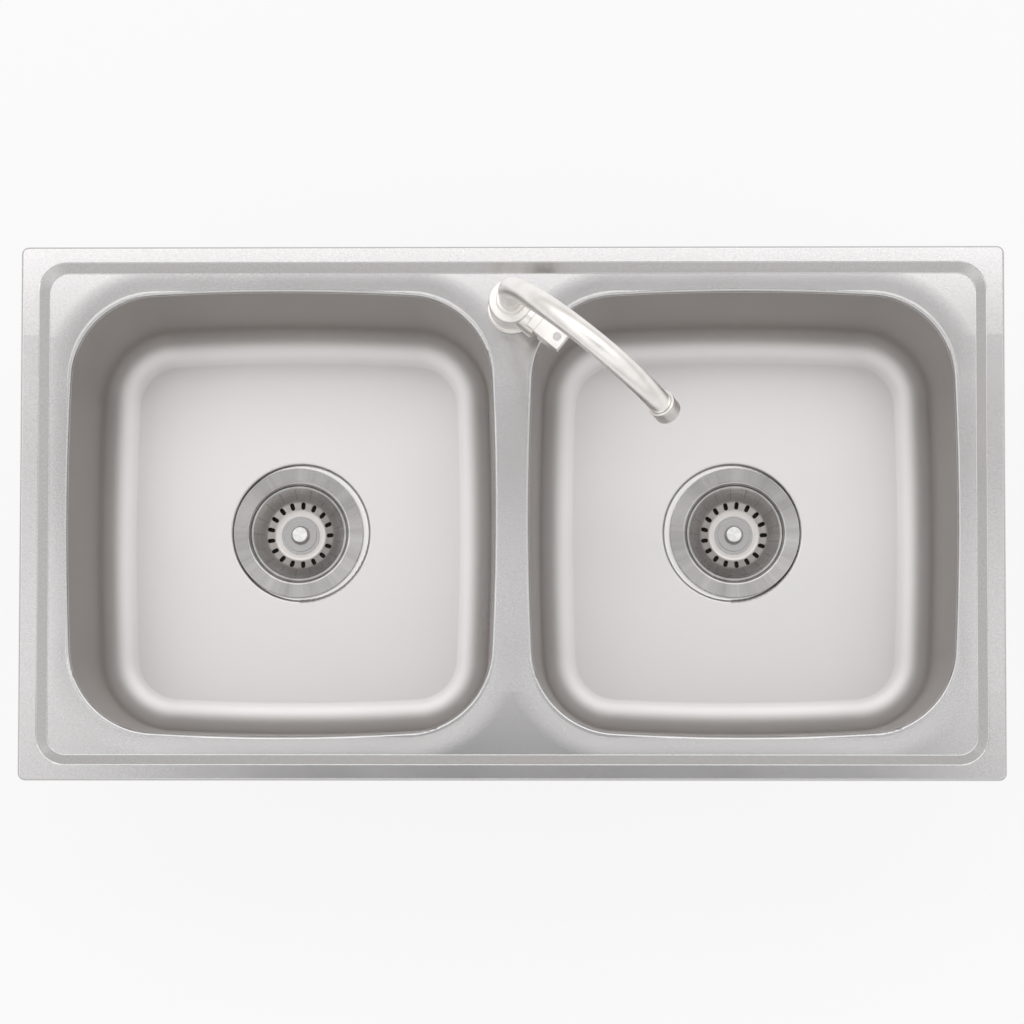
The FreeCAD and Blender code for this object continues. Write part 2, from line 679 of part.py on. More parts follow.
def deck(side_name, side):
    """Rim, sloped step and deck with rolled mouths; the sheet is cut on the middle seam."""
    body = new_body(side_name + "_deck")
    blank = new_sketch(body, "XY_Plane", "blank_outline", weld_level)
    rounded_rectangle(blank, half_length, half_width, S.rim_corner)
    pad(body, blank, rim_top - weld_level, "blank")

    well = new_sketch(body, "XY_Plane", "well_outline", rim_top)
    rounded_rectangle(well, step_foot_x, step_foot_y, S.step_corner)
    pocket(body, well, S.step_depth, "well")
    base = body.Tip
    deck_face = face_names(base.Shape, at_level(deck_top))
    walls = face_names(
        base.Shape,
        lambda face: abs(face.BoundBox.ZMin - deck_top.number) < 1e-4
        and abs(face.BoundBox.ZMax - rim_top.number) < 1e-4,
    )
    slope = body.newObject("PartDesign::Draft", "slope")
    slope.Base = (base, walls)
    slope.NeutralPlane = (base, deck_face)
    set_and_bind(slope, "Angle", slope_angle(S.step_run, S.step_depth))
    finish_feature(slope, body)

    mouths = new_sketch(body, "XY_Plane", "mouth_outlines", deck_top)
    mouth_outline(mouths, centre=-mouth_x)
    mouth_outline(mouths, centre=mouth_x)
    pocket(body, mouths, deck_top - weld_level, "mouths")
    hole = new_sketch(body, "XY_Plane", "tap_hole_outline", deck_top)
    circle(hole, S.tap_hole_radius, ZERO, tap_y)

    on_deck = at_level(deck_top)
    on_rim = at_level(rim_top)
    slack = (S.step_run / 4).number
    round_edges(
        body,
        lambda edge: on_deck(edge) and not near_outline(edge, step_foot_x, step_foot_y, slack),
        S.mouth_round,
        "mouth_rolls",
    )
    round_edges(
        body,
        lambda edge: on_rim(edge) and near_outline(edge, step_top_x, step_top_y, slack),
        S.step_round,
        "step_head",
    )
    round_edges(
        body,
        lambda edge: on_deck(edge) and near_outline(edge, step_foot_x, step_foot_y, slack),
        S.step_round,
        "step_foot",
    )
    round_edges(
        body,
        lambda edge: on_rim(edge) and near_outline(edge, half_length, half_width, slack),
        S.rim_round,
        "rim_edge",
    )
    base = body.Tip
    skin = body.newObject("PartDesign::Thickness", "pressed_skin")
    skin.Base = (base, face_names(base.Shape, at_level(weld_level)))
    skin.Reversed = True
    set_and_bind(skin, "Value", S.gauge)
    finish_feature(skin, body)

    skirt = new_sketch(body, "XY_Plane", "skirt_trim")
    rounded_rectangle(skirt, half_length + S.gauge, half_width + S.gauge, S.rim_corner + S.gauge)
    inside = S.gauge * 2
    rounded_rectangle(skirt, half_length - inside, half_width - inside, S.rim_corner - inside)
    pocket(body, skirt, -weld_level + S.gauge, "skirt_trimmed")
    pocket(body, hole, S.gauge * 2, "tap_hole")
    seam = new_sketch(body, "XY_Plane", "seam_cut_outline", rim_top + S.gauge)
    far_x = (half_length + S.gauge) * -side
    edges = (far_x, ZERO) if side > 0 else (ZERO, far_x)
    box_outline(seam, *edges, -half_width - S.gauge, half_width + S.gauge)
    pocket(body, seam, rim_top - weld_level + S.gauge * 2, "seam_cut")
    return body


def bowl(side_name, side):
    """A drawn bowl, welded under its mouth, with a pressed seat round the drain hole."""
    body = new_body(side_name + "_bowl")
    mouth = new_sketch(body, "XY_Plane", side_name + "_bowl_mouth", weld_level)
    mouth_outline(mouth, grow=S.gauge)
    pad(body, mouth, weld_level - floor_under, side_name + "_bowl_block", down=True)
    base = body.Tip
    lean = body.newObject("PartDesign::Draft", side_name + "_bowl_lean")
    walls = face_names(base.Shape, lambda face: face.BoundBox.ZLength > 1.0)
    lean.Base = (base, walls)
    lean.NeutralPlane = (base, face_names(base.Shape, at_level(weld_level)))
    lean.Reversed = True
    set_and_bind(lean, "Angle", S.draft_angle)
    finish_feature(lean, body)
    if lean.Shape.Volume > base.Shape.Volume:
        raise ValueError("the bowl's walls lean the wrong way")
    round_edges(body, at_level(floor_under), S.floor_round + S.gauge, side_name + "_floor_round")

    seat = new_sketch(body, "XY_Plane", side_name + "_seat_outline", floor_under)
    circle(seat, S.recess_radius + S.gauge, S.recess_inset * -side, ZERO)
    pad(body, seat, S.recess_depth, side_name + "_seat", down=True)
    outside = S.recess_radius + S.gauge
    round_edges(body, circle_at(floor_under, outside), S.recess_round, side_name + "_seat_top")
    round_edges(
        body, circle_at(seat_under, outside), S.recess_round + S.gauge, side_name + "_seat_foot"
    )
    base = body.Tip
    skin = body.newObject("PartDesign::Thickness", side_name + "_bowl_skin")
    skin.Base = (base, face_names(base.Shape, at_level(weld_level)))
    skin.Reversed = True
    set_and_bind(skin, "Value", S.gauge)
    finish_feature(skin, body)
    hole = new_sketch(body, "XY_Plane", side_name + "_drain_outline", seat_top)
    circle(hole, S.drain_radius)
    pocket(body, hole, S.gauge * 2, side_name + "_drain")
    place(body, mouth_x * side)
    return body


def sound_pad(side_name, side):
    """A bitumen pad stuck under the bowl floor, round the drain seat."""
    label = side_name + "_sound_pad"
    body = new_body(label)
    outline = new_sketch(body, "XY_Plane", label + "_outline")
    half_x = mouth_length / 2 - S.pad_margin
    half_y = mouth_width / 2 - S.pad_margin
    rounded_rectangle(outline, half_x, half_y, S.pad_corner)
    opening = S.recess_radius + S.gauge + S.recess_round + S.pad_clearance
    circle(outline, opening, S.recess_inset * -side, ZERO)
    pad(body, outline, S.pad_thickness, label + "_sheet")
    place(body, mouth_x * side, ZERO, floor_under - S.pad_thickness)
    return body


def rim_gasket():
    """The foam strip between rim and worktop."""
    body = new_body("rim_gasket")
    outline = new_sketch(body, "XY_Plane", "gasket_outline")
    outer = S.gauge + S.gasket_inset
    inner = outer + S.gasket_width
    rounded_rectangle(outline, half_length - outer, half_width - outer, S.rim_corner - outer)
    rounded_rectangle(outline, half_length - inner, half_width - inner, S.step_corner)
    pad(body, outline, rim_top - S.gauge, "gasket_strip")
    return body


# Clips: a bracket under the deck, a hook under the worktop and the screw that draws it up.
screw_from_bowl = S.clip_reach / 2 + S.clip_gauge / 2
bracket_bottom = deck_under - S.clip_drop
hook_tip_top = -S.worktop
hook_arm_top = hook_tip_top - S.hook_tooth + S.clip_gauge
hook_arm_bottom = hook_arm_top - S.clip_gauge
clip_margin = S.mouth_round + S.gauge / 2
clip_front_y = mouth_width / 2 + clip_margin
clip_end_x = mouth_x + mouth_length / 2 + clip_margin


def clip_bracket_master():
    """A folded C bracket; it is drawn for the rear edge with its back at y = 0."""
    body = new_body("clip_bracket_master")
    side = new_sketch(body, "YZ_Plane", "bracket_section")
    depth = S.clip_reach
    drop = S.clip_drop
    thin = S.clip_gauge
    polygon(
        side,
        (
            (ZERO, ZERO),
            (depth, ZERO),
            (depth, thin),
            (thin, thin),
            (thin, drop - thin),
            (depth, drop - thin),
            (depth, drop),
            (ZERO, drop),
        ),
    )
    pad_both_ways(body, side, S.clip_width, "bracket_fold")
    hole = new_sketch(body, "XY_Plane", "bracket_hole", thin)
    circle(hole, S.clip_screw_radius + S.thread_gap, ZERO, screw_from_bowl)
    pocket(body, hole, thin * 2, "bracket_tapped_hole")
    return body


def clip_hook_master(name, reach):
    """A hook plate with an upturned tip; y = 0 is the bracket's back."""
    body = new_body(name)
    side = new_sketch(body, "YZ_Plane", name + "_section")
    thin = S.clip_gauge
    polygon(
        side,
        (
            (thin, ZERO),
            (reach, ZERO),
            (reach, S.hook_tooth),
            (reach - thin, S.hook_tooth),
            (reach - thin, thin),
            (thin, thin),
        ),
    )
    pad_both_ways(body, side, S.clip_width, name + "_plate")
    hole = new_sketch(body, "XY_Plane", name + "_hole", thin)
    circle(hole, S.clip_screw_radius + S.thread_gap * 4, ZERO, screw_from_bowl)
    pocket(body, hole, thin * 2, name + "_screw_hole")
    return body


def clip_screw_master():
    """An M5 screw, head down, from under the hook up into the bracket."""
    shank = bracket_bottom + S.clip_gauge * 2 - hook_arm_bottom
    head = S.clip_head_height
    body = turned(
        "clip_screw_master",
        (
            (ZERO, ZERO),
            (S.clip_head_radius, ZERO),
            (S.clip_head_radius, head),
            (S.clip_screw_radius, head),
            (S.clip_screw_radius, head + shank),
            (ZERO, head + shank),
        ),
    )
    slot = new_sketch(body, "XY_Plane", "clip_screw_slot")
    half = S.clip_screw_radius / 4
    box_outline(slot, -S.clip_head_radius, S.clip_head_radius, -half, half)
    pocket(body, slot, head / 2, "clip_screw_drive", up=True)
    return body


def clip_places():
    """Back of each bracket: x, y and the turn from the rear edge."""
    places = []
    for along in (mouth_x + S.clip_spread, mouth_x - S.clip_spread):
        for side in (-1, 1):
            places.append((along * side, clip_front_y, 0, "long"))
            places.append((along * side, -clip_front_y, 180, "long"))
    places.append((clip_end_x, ZERO, -90, "end"))
    places.append((-clip_end_x, ZERO, 90, "end"))
    return places


def grouped(label, masters, level, offset):
    """Identical fasteners in one piece: a copy of the master at every clip."""
    copies = []
    for number, (x, y, turn, kind) in enumerate(clip_places(), 1):
        copy = doc.addObject("Part::Feature", "%s_%d" % (label, number))
        master = masters[kind]
        copy.Shape = master.Shape.copy()
        spin = Rotation(Vector(0, 0, 1), turn)
        shift = spin.multVec(Vector(0, offset.number, 0))
        seat = Vector(x.number, y.number, level.number) + shift
        copy.Placement = Placement(seat, spin)
        copies.append(copy)
    group = doc.addObject("Part::Compound", label)
    group.Label = label
    group.Links = copies
    doc.recompute()
    return group


# --- the two strainers -----------------------------------------------------------------


def strainer_cup(side_name, side):
    """The pressed steel cup whose flange shows in the bowl."""
    thin = S.cup_gauge
    plate_under = S.dimple_depth
    plate_top = plate_under + thin
    under = plate_top + S.cup_depth - thin
    top = plate_top + S.cup_depth
    hole = S.screw_radius + S.thread_gap * 4
    body = turned(
        side_name + "_strainer_cup",
        (
            (hole, ZERO),
            (S.dimple_radius + thin, ZERO),
            (S.dimple_radius + thin, plate_under),
            (S.cup_foot_radius + thin, plate_under),
            (S.cup_mouth_radius + thin, under),
            (S.flange_radius, under),
            (S.flange_radius, top),
            (S.cup_mouth_radius, top),
            (S.cup_foot_radius, plate_top),
            (S.dimple_radius, plate_top),
            (S.dimple_radius, thin),
            (hole, thin),
        ),
    )
    label = body.Label
    mouth = S.cup_mouth_radius
    foot = S.cup_foot_radius
    round_edges(body, circle_at(top, mouth), S.cup_round, label + "_mouth_round")
    round_edges(body, circle_at(under, mouth + thin), S.cup_round - thin / 2, label + "_neck_round")
    round_edges(body, circle_at(plate_top, foot), S.cup_round, label + "_foot_round")
    round_edges(
        body, circle_at(plate_under, foot + thin), S.cup_round + thin, label + "_foot_outside"
    )
    round_edges(body, circle_at(top, S.flange_radius), thin / 2, label + "_flange_round")
    port = new_sketch(body, "XY_Plane", label + "_port", plate_top)
    circle(port, S.drain_port_radius, S.drain_port_circle, ZERO)
    cut = pocket(body, port, thin * 2, label + "_port_cut")
    polar_copies(body, cut, S.drain_port_count, label + "_ports")
    place(body, mouth_x * side, ZERO, cup_bottom)
    return body


def flat_ring(label, inner, outer, thickness, side, level):
    body = turned(label, tube_profile(inner, outer, ZERO, thickness))
    place(body, mouth_x * side, ZERO, level)
    return body


def waste_body(side_name, side):
    """The plastic body under the bowl, with its outlet and the boss for the screw."""
    label = side_name + "_waste_body"
    bore = S.cup_mouth_radius + S.cup_gauge + S.cup_round
    outside = bore + S.waste_wall
    rim = S.seal_inner_radius + S.seal_width
    cone_foot = S.outlet_length
    wall_foot = cone_foot + S.waste_cone
    top = wall_foot + S.waste_height
    body = turned(
        label,
        (
            (S.outlet_bore, ZERO),
            (S.outlet_radius, ZERO),
            (S.outlet_radius, cone_foot),
            (outside, wall_foot),
            (outside, top - S.waste_wall * 1.6),
            (rim, top - S.waste_wall * 1.6),
            (rim, top),
            (bore, top),
            (bore, wall_foot + S.waste_wall),
            (S.outlet_bore, cone_foot + S.waste_wall),
        ),
    )
    boss_top = cup_bottom - waste_bottom
    boss_low = boss_top - S.boss_height
    webs = new_sketch(body, "XY_Plane", label + "_web_outline", boss_low)
    reach = S.outlet_bore + (S.outlet_radius - S.outlet_bore) / 2
    half = S.web_thickness / 2
    polygon(
        webs,
        (
            (reach, -half),
            (reach, half),
            (half, half),
            (half, reach),
            (-half, reach),
            (-half, half),
            (-reach, half),
            (-reach, -half),
            (-half, -half),
            (-half, -reach),
            (half, -reach),
            (half, -half),
        ),
    )
    pad(body, webs, S.web_height, label + "_webs")
    boss = new_sketch(body, "XY_Plane", label + "_boss_outline", boss_low)
    circle(boss, S.boss_radius)
    pad(body, boss, S.boss_height, label + "_boss")
    thread = new_sketch(body, "XY_Plane", label + "_thread_outline", boss_top)
    circle(thread, S.screw_radius + S.thread_gap)
    pocket(body, thread, S.boss_height * 2, label + "_thread")
    place(body, mouth_x * side, ZERO, waste_bottom)
    return body


def centre_screw(side_name, side):
    """The screw that draws the cup down on to the waste body."""
    label = side_name + "_centre_screw"
    total = S.screw_length + S.screw_head_height
    body = turned(
        label,
        (
            (ZERO, ZERO),
            (S.screw_radius, ZERO),
            (S.screw_radius, S.screw_length),
            (S.screw_head_radius, S.screw_length),
            (S.screw_head_radius, total),
            (ZERO, total),
        ),
    )
    bevel_edges(body, circle_at(total, S.screw_head_radius), S.screw_head_height / 6, label + "_bevel")
    drive = new_sketch(body, "XY_Plane", label + "_drive_outline", total)
    hexagon(drive, S.screw_socket)
    pocket(body, drive, S.screw_head_height / 2, label + "_drive")
    place(body, mouth_x * side, ZERO, cup_bottom + S.cup_gauge - S.screw_length)
    return body


def basket(side_name, side):
    """The lift-out basket: a pressed bowl with a ring of radial slots."""
    label = side_name + "_basket"
    thin = S.basket_gauge
    stud_hole = S.stud_radius + S.thread_gap
    body = turned(
        label,
        (
            (stud_hole, ZERO),
            (S.basket_floor_radius, ZERO),
            (S.basket_waist_radius, S.basket_waist_height),
            (S.basket_wall_radius, S.basket_height - thin),
            (S.basket_rim_radius, S.basket_height - thin),
            (S.basket_rim_radius, S.basket_height),
            (S.basket_wall_radius - thin, S.basket_height),
            (S.basket_waist_radius - thin, S.basket_waist_height + thin),
            (S.basket_floor_radius, thin),
            (stud_hole, thin),
        ),
    )
    bends = (
        (S.basket_floor_radius, ZERO, "_floor"),
        (S.basket_waist_radius, S.basket_waist_height, "_waist"),
    )
    for radius, level, name in bends:
        outer = S.basket_bend + thin
        inside = radius - (thin if level.number else ZERO)
        round_edges(body, circle_at(level + thin, inside), S.basket_bend, label + name + "_inside")
        round_edges(body, circle_at(level, radius), outer, label + name + "_outside")
    slot = new_sketch(body, "XY_Plane", label + "_slot_outline", S.basket_height)
    pill(slot, S.slot_inner_radius, S.slot_outer_radius, S.slot_width / 2)
    cut = pocket(body, slot, S.basket_height * 2, label + "_slot")
    polar_copies(body, cut, S.slot_count, label + "_slots")
    place(body, mouth_x * side, ZERO, basket_under)
    return body


def basket_knob(side_name, side):
    """The turned knob, riveted through the basket floor."""
    label = side_name + "_basket_knob"
    seat = S.rivet_height + S.basket_gauge
    body = turned(
        label,
        (
            (ZERO, ZERO),
            (S.rivet_radius, ZERO),
            (S.rivet_radius, S.rivet_height),
            (S.stud_radius, S.rivet_height),
            (S.stud_radius, seat),
            (S.knob_base_radius, seat),
            (S.knob_base_radius, seat + S.knob_base_height),
            (S.knob_ring_radius, seat + S.knob_base_height),
            (S.knob_ring_radius, seat + S.knob_ring_height),
            (S.knob_waist_radius * 1.8, seat + S.knob_ring_height),
            (S.knob_waist_radius, seat + S.knob_waist_height),
            (S.knob_waist_radius, seat + S.knob_grip_height),
            (S.knob_grip_radius, seat + S.knob_grip_height),
            (S.knob_grip_radius, seat + S.knob_height),
            (ZERO, seat + S.knob_height),
        ),
    )
    rounding = (S.knob_height - S.knob_grip_height) / 4
    round_edges(
        body, circle_at(seat + S.knob_height, S.knob_grip_radius), rounding, label + "_grip_round"
    )
    round_edges(
        body,
        circle_at(seat + S.knob_ring_height, S.knob_ring_radius),
        S.knob_base_height / 3,
        label + "_ring_round",
    )
    place(body, mouth_x * side, ZERO, basket_under - S.rivet_height)
    return body


def basket_seal(side_name, side):
    """The rubber stopper that closes the ports when the basket is pushed down."""
    level = basket_under - S.basket_seal_thickness
    return flat_ring(
        side_name + "_basket_seal",
        S.basket_seal_bore,
        S.basket_seal_radius,
        S.basket_seal_thickness,
        side,
        level,
    )


# --- the tap ---------------------------------------------------------------------------


def on_tap(body, level=ZERO):
    """Seats a piece of the tap: its local X axis points along lever and spout."""
    place(body, ZERO, tap_y, level, S.tap_angle)
    bind(body, "Placement.Rotation.Angle", S.tap_angle)
    return body


def tap_ring(label, inner, outer, height, level):
    body = turned(label, tube_profile(inner, outer, ZERO, height))
    return on_tap(body, level)


def base_ring():
    body = tap_ring(
        "tap_base_ring",
        S.shank_radius + S.thread_gap * 4,
        S.base_ring_radius,
        S.base_ring_height,
        base_ring_bottom,
    )
    bevel_edges(
        body, circle_at(S.base_ring_height, S.base_ring_radius), S.base_ring_chamfer, "ring_bevel"
    )
    return body


def tap_body():
    """The cast body: a column with a boss for the lever cartridge."""
    body = turned(
        "tap_body",
        (
            (ZERO, ZERO),
            (S.body_radius, ZERO),
            (S.body_radius, S.body_height),
            (ZERO, S.body_height),
        ),
    )
    round_edges(
        body, circle_at(S.body_height, S.body_radius), S.body_round, "body_crown"
    )
    axis = lever_axis - body_bottom
    boss = new_sketch(body, "YZ_Plane", "lever_boss_outline")
    circle(boss, S.lever_boss_radius, ZERO, axis)
    pad(body, boss, S.lever_boss_reach, "lever_boss")
    socket = new_sketch(body, "XY_Plane", "spout_socket_outline", S.body_height)
    circle(socket, S.socket_radius)
    pocket(body, socket, S.socket_depth, "spout_socket")
    shank = new_sketch(body, "XY_Plane", "shank_bore_outline")
    circle(shank, S.shank_radius + S.thread_gap)
    pocket(body, shank, S.shank_engagement, "shank_bore_cut", up=True)
    inlets = new_sketch(body, "XY_Plane", "inlet_outlines", S.shank_engagement)
    circle(inlets, S.inlet_radius, -S.inlet_setback, S.inlet_spacing)
    circle(inlets, S.inlet_radius, -S.inlet_setback, -S.inlet_spacing)
    pocket(body, inlets, S.inlet_depth, "inlets", up=True)
    well = new_sketch(body, "YZ_Plane", "cartridge_bore_outline", S.lever_boss_reach)
    circle(well, S.cartridge_radius + S.thread_gap, ZERO, axis)
    pocket(body, well, S.lever_boss_reach - S.cartridge_start, "cartridge_bore")
    port = new_sketch(body, "YZ_Plane", "port_outline", S.cartridge_start)
    circle(port, S.port_radius, ZERO, axis)
    pocket(body, port, S.cartridge_start / 2, "port")
    feeds = new_sketch(body, "YZ_Plane", "feed_outlines", S.cartridge_start)
    circle(feeds, S.feed_radius, S.inlet_spacing, axis - S.feed_drop)
    circle(feeds, S.feed_radius, -S.inlet_spacing, axis - S.feed_drop)
    pocket(body, feeds, S.cartridge_start + S.inlet_setback, "feeds")
    return on_tap(body, body_bottom)


def tap_shank():
    return tap_ring(
        "tap_shank",
        S.shank_bore,
        S.shank_radius,
        S.shank_length,
        body_bottom + S.shank_engagement - S.shank_length,
    )


def back_nut():
    """The hexagon nut that holds the tap from below."""
    body = new_body("tap_back_nut")
    outline = new_sketch(body, "XY_Plane", "back_nut_outline")
    hexagon(outline, S.back_nut_flats)
    circle(outline, S.shank_radius + S.thread_gap)
    pad(body, outline, S.back_nut_height, "back_nut_block")
    level = deck_under - S.rubber_washer_thickness - S.steel_washer_thickness - S.back_nut_height
    return on_tap(body, level)


def spout_nut():
    """The collar nut round the spout's foot."""
    bore = S.spout_radius + S.thread_gap
    skirt = S.socket_radius - S.thread_gap
    body = turned(
        "spout_nut",
        (
            (bore, ZERO),
            (skirt, ZERO),
            (skirt, S.nut_skirt),
            (S.nut_radius, S.nut_skirt),
            (S.nut_radius, S.nut_skirt + S.nut_height),
            (bore, S.nut_skirt + S.nut_height),
        ),
    )
    bevel_edges(
        body,
        circle_at(S.nut_skirt + S.nut_height, S.nut_radius),
        S.nut_height / 5,
        "spout_nut_bevel",
    )
    return on_tap(body, body_top - S.nut_skirt)


def spout_bush():
    return tap_ring(
        "spout_bush",
        S.spout_radius + S.thread_gap,
        S.socket_radius - S.thread_gap,
        S.bush_height,
        body_top - S.nut_skirt - S.bush_height,
    )


def spout_tube():
    """The swivel spout: a straight riser and one long arc."""
    body = new_body("spout_tube")
    riser = riser_top - spout_foot
    path = new_sketch(body, "XZ_Plane", "spout_path")
    bend = S.spout_bend
    line = path.addGeometry(Part.LineSegment(Vector(0, 0, 0), Vector(0, riser.number, 0)), False)
    stop = math.pi - math.radians(S.spout_angle.number)
    curve = arc(path, bend.number, riser.number, bend.number, stop, math.pi)
    constrain(path, "Coincident", line, 1, -1, 1)
    constrain(path, "Vertical", line)
    constrain(path, "Tangent", line, 2, curve, 2)
    dimension(path, "DistanceY", riser, line, 1, line, 2)
    dimension(path, "Radius", bend, curve)
    dimension(path, "DistanceX", -bend * cosine(S.spout_angle), curve, 3, curve, 1)
    section = new_sketch(body, "XY_Plane", "spout_section")
    ring(section, S.spout_radius, S.spout_radius - S.spout_wall)
    doc.recompute()
    pipe = body.newObject("PartDesign::AdditivePipe", "spout_pipe")
    pipe.Profile = section
    pipe.Spine = (path, ["Edge1", "Edge2"])
    finish_feature(pipe, body)
    return on_tap(body, spout_foot)


def at_spout_end(body, name, along=ZERO):
    """A sketch square to the spout's axis, at a distance along the water's way."""
    out_x = sine(S.spout_angle)
    out_z = cosine(S.spout_angle)
    reach = S.spout_bend * (sized(1) - cosine(S.spout_angle)) + along * out_x
    height = riser_top + S.spout_bend * sine(S.spout_angle) + along * out_z
    sketch = body.newObject("Sketcher::SketchObject", name)
    sketch.AttachmentSupport = [(origin_plane(body, "XY_Plane"), "")]
    sketch.MapMode = "FlatFace"
    tilt = Rotation(Vector(0, 1, 0), S.spout_angle.number)
    sketch.AttachmentOffset = Placement(Vector(reach.number, 0, height.number), tilt)
    bind(sketch, "AttachmentOffset.Base.x", reach)
    bind(sketch, "AttachmentOffset.Base.z", height)
    bind(sketch, "AttachmentOffset.Rotation.Angle", S.spout_angle)
    return sketch


def end_collar():
    """The bead brazed round the end of the spout."""
    body = new_body("spout_end_collar")
    outline = at_spout_end(body, "end_collar_outline", -S.end_collar_height)
    ring(outline, S.end_collar_radius, S.spout_radius + S.solder_gap * 4)
    pad(body, outline, S.end_collar_height, "end_collar_ring")
    return on_tap(body)


def aerator_housing():
    """The screwed cap below the bead; it holds the insert."""
    body = new_body("aerator_housing")
    outline = at_spout_end(body, "aerator_outline")
    ring(outline, S.aerator_radius, S.aerator_radius - S.aerator_wall)
    pad(body, outline, S.aerator_height, "aerator_wall_ring")
    return on_tap(body)


def aerator_insert():
    """The perforated insert that mixes air into the water."""
    body = new_body("aerator_insert")
    start = S.aerator_height - S.insert_height - S.insert_recess
    radius = S.aerator_radius - S.aerator_wall - S.solder_gap
    outline = at_spout_end(body, "insert_outline", start)
    circle(outline, radius)
    rings = ((OUTER_JET_RING, int(S.jet_count.number)), (INNER_JET_RING, INNER_JETS))
    for circle_share, count in rings:
        for index in range(count):
            angle = sized(360.0 * index / count)
            along = radius * circle_share
            circle(outline, S.jet_radius, along * cosine(angle), along * sine(angle))
    pad(body, outline, S.insert_height, "insert_disc")
    return on_tap(body)


def o_rings():
    """Two O-rings round the spout's foot, below the bush."""
    section = S.o_ring_section
    radius = (S.spout_radius + S.socket_radius) / 2
    rings = []
    for number in (1, 2):
        torus = doc.addObject("Part::Torus", "o_ring_%d" % number)
        set_and_bind(torus, "Radius1", radius)
        set_and_bind(torus, "Radius2", section)
        height = spout_foot + section + S.o_ring_pitch * (number - 1) + S.thread_gap
        place(torus, ZERO, tap_y, height)
        rings.append(torus)
    group = doc.addObject("Part::Compound", "spout_o_rings")
    group.Label = "spout_o_rings"
    group.Links = rings
    doc.recompute()
    return group


# --- the lever and its cartridge -------------------------------------------------------


def cartridge_housing():
    """The cup that the stem's carrier turns in."""
    start = S.cartridge_start
    plate = start + S.cartridge_plate
    end = start + S.cartridge_length
    bore = S.carrier_radius + S.thread_gap
    body = turned(
        "cartridge_housing",
        (
            (start, ZERO),
            (plate, ZERO),
            (plate, bore),
            (end, bore),
            (end, S.cartridge_radius),
            (start, S.cartridge_radius),
        ),
        "H_Axis",
    )
    ports = new_sketch(body, "YZ_Plane", "cartridge_ports", plate)
    circle(ports, S.port_radius)
    circle(ports, S.feed_radius, S.inlet_spacing, -S.feed_drop)
    circle(ports, S.feed_radius, -S.inlet_spacing, -S.feed_drop)
    pocket(body, ports, S.cartridge_plate * 2, "cartridge_ports_cut")
    return on_tap(body, lever_axis)


def cartridge_nut():
    start = S.cartridge_start + S.cartridge_length
    end = S.lever_boss_reach
    bore = S.carrier_radius + S.thread_gap
    lip = S.cartridge_start + S.cartridge_plate + S.carrier_length + S.thread_gap * 2
    mouth = bore - S.nut_lip
    body = turned(
        "cartridge_nut",
        (
            (start, bore),
            (lip, bore),
            (lip, mouth),
            (end, mouth),
            (end, S.cartridge_radius),
            (start, S.cartridge_radius),
        ),
        "H_Axis",
    )
    return on_tap(body, lever_axis)


def stem_carrier():
    """It turns with the lever for hot and cold, and lets the stem tilt for flow."""
    start = S.cartridge_start + S.cartridge_plate + S.thread_gap
    end = start + S.carrier_length
    body = turned("stem_carrier", rod_profile(S.carrier_radius, start, end), "H_Axis")
    slot = new_sketch(body, "YZ_Plane", "carrier_slot_outline", end)
    half_wide = S.carrier_slot_width / 2
    half_high = S.carrier_slot_height / 2
    box_outline(slot, -half_wide, half_wide, -half_high, half_high)
    pocket(body, slot, S.carrier_length * 2, "carrier_slot")
    hole = new_sketch(body, "XZ_Plane", "carrier_pin_outline")
    circle(hole, S.pivot_pin_radius, S.pivot_reach, ZERO)
    cut = body.newObject("PartDesign::Pocket", "carrier_pin_hole")
    cut.Profile = hole
    cut.Midplane = True
    set_and_bind(cut, "Length", S.carrier_radius * 3)
    finish_feature(cut, body)
    return on_tap(body, lever_axis)


def pivot_pin():
    """The cross pin, pressed into the carrier; the stem turns on it."""
    body = new_body("lever_pivot_pin")
    outline = new_sketch(body, "XZ_Plane", "pivot_pin_outline")
    circle(outline, S.pivot_pin_radius, S.pivot_reach, ZERO)
    pad_both_ways(body, outline, (S.carrier_radius - S.thread_gap * 8) * 2, "pivot_pin_rod")
    return on_tap(body, lever_axis)


def lever_stem():
    body = turned("lever_stem", rod_profile(S.stem_radius, S.stem_start, S.stem_end), "H_Axis")
    hole = new_sketch(body, "XZ_Plane", "stem_pin_outline")
    circle(hole, S.pivot_pin_radius + S.thread_gap, S.pivot_reach, ZERO)
    cut = body.newObject("PartDesign::Pocket", "stem_pin_hole")
    cut.Profile = hole
    cut.Midplane = True
    set_and_bind(cut, "Length", S.stem_radius * 3)
    finish_feature(cut, body)
    return on_tap(body, lever_axis)


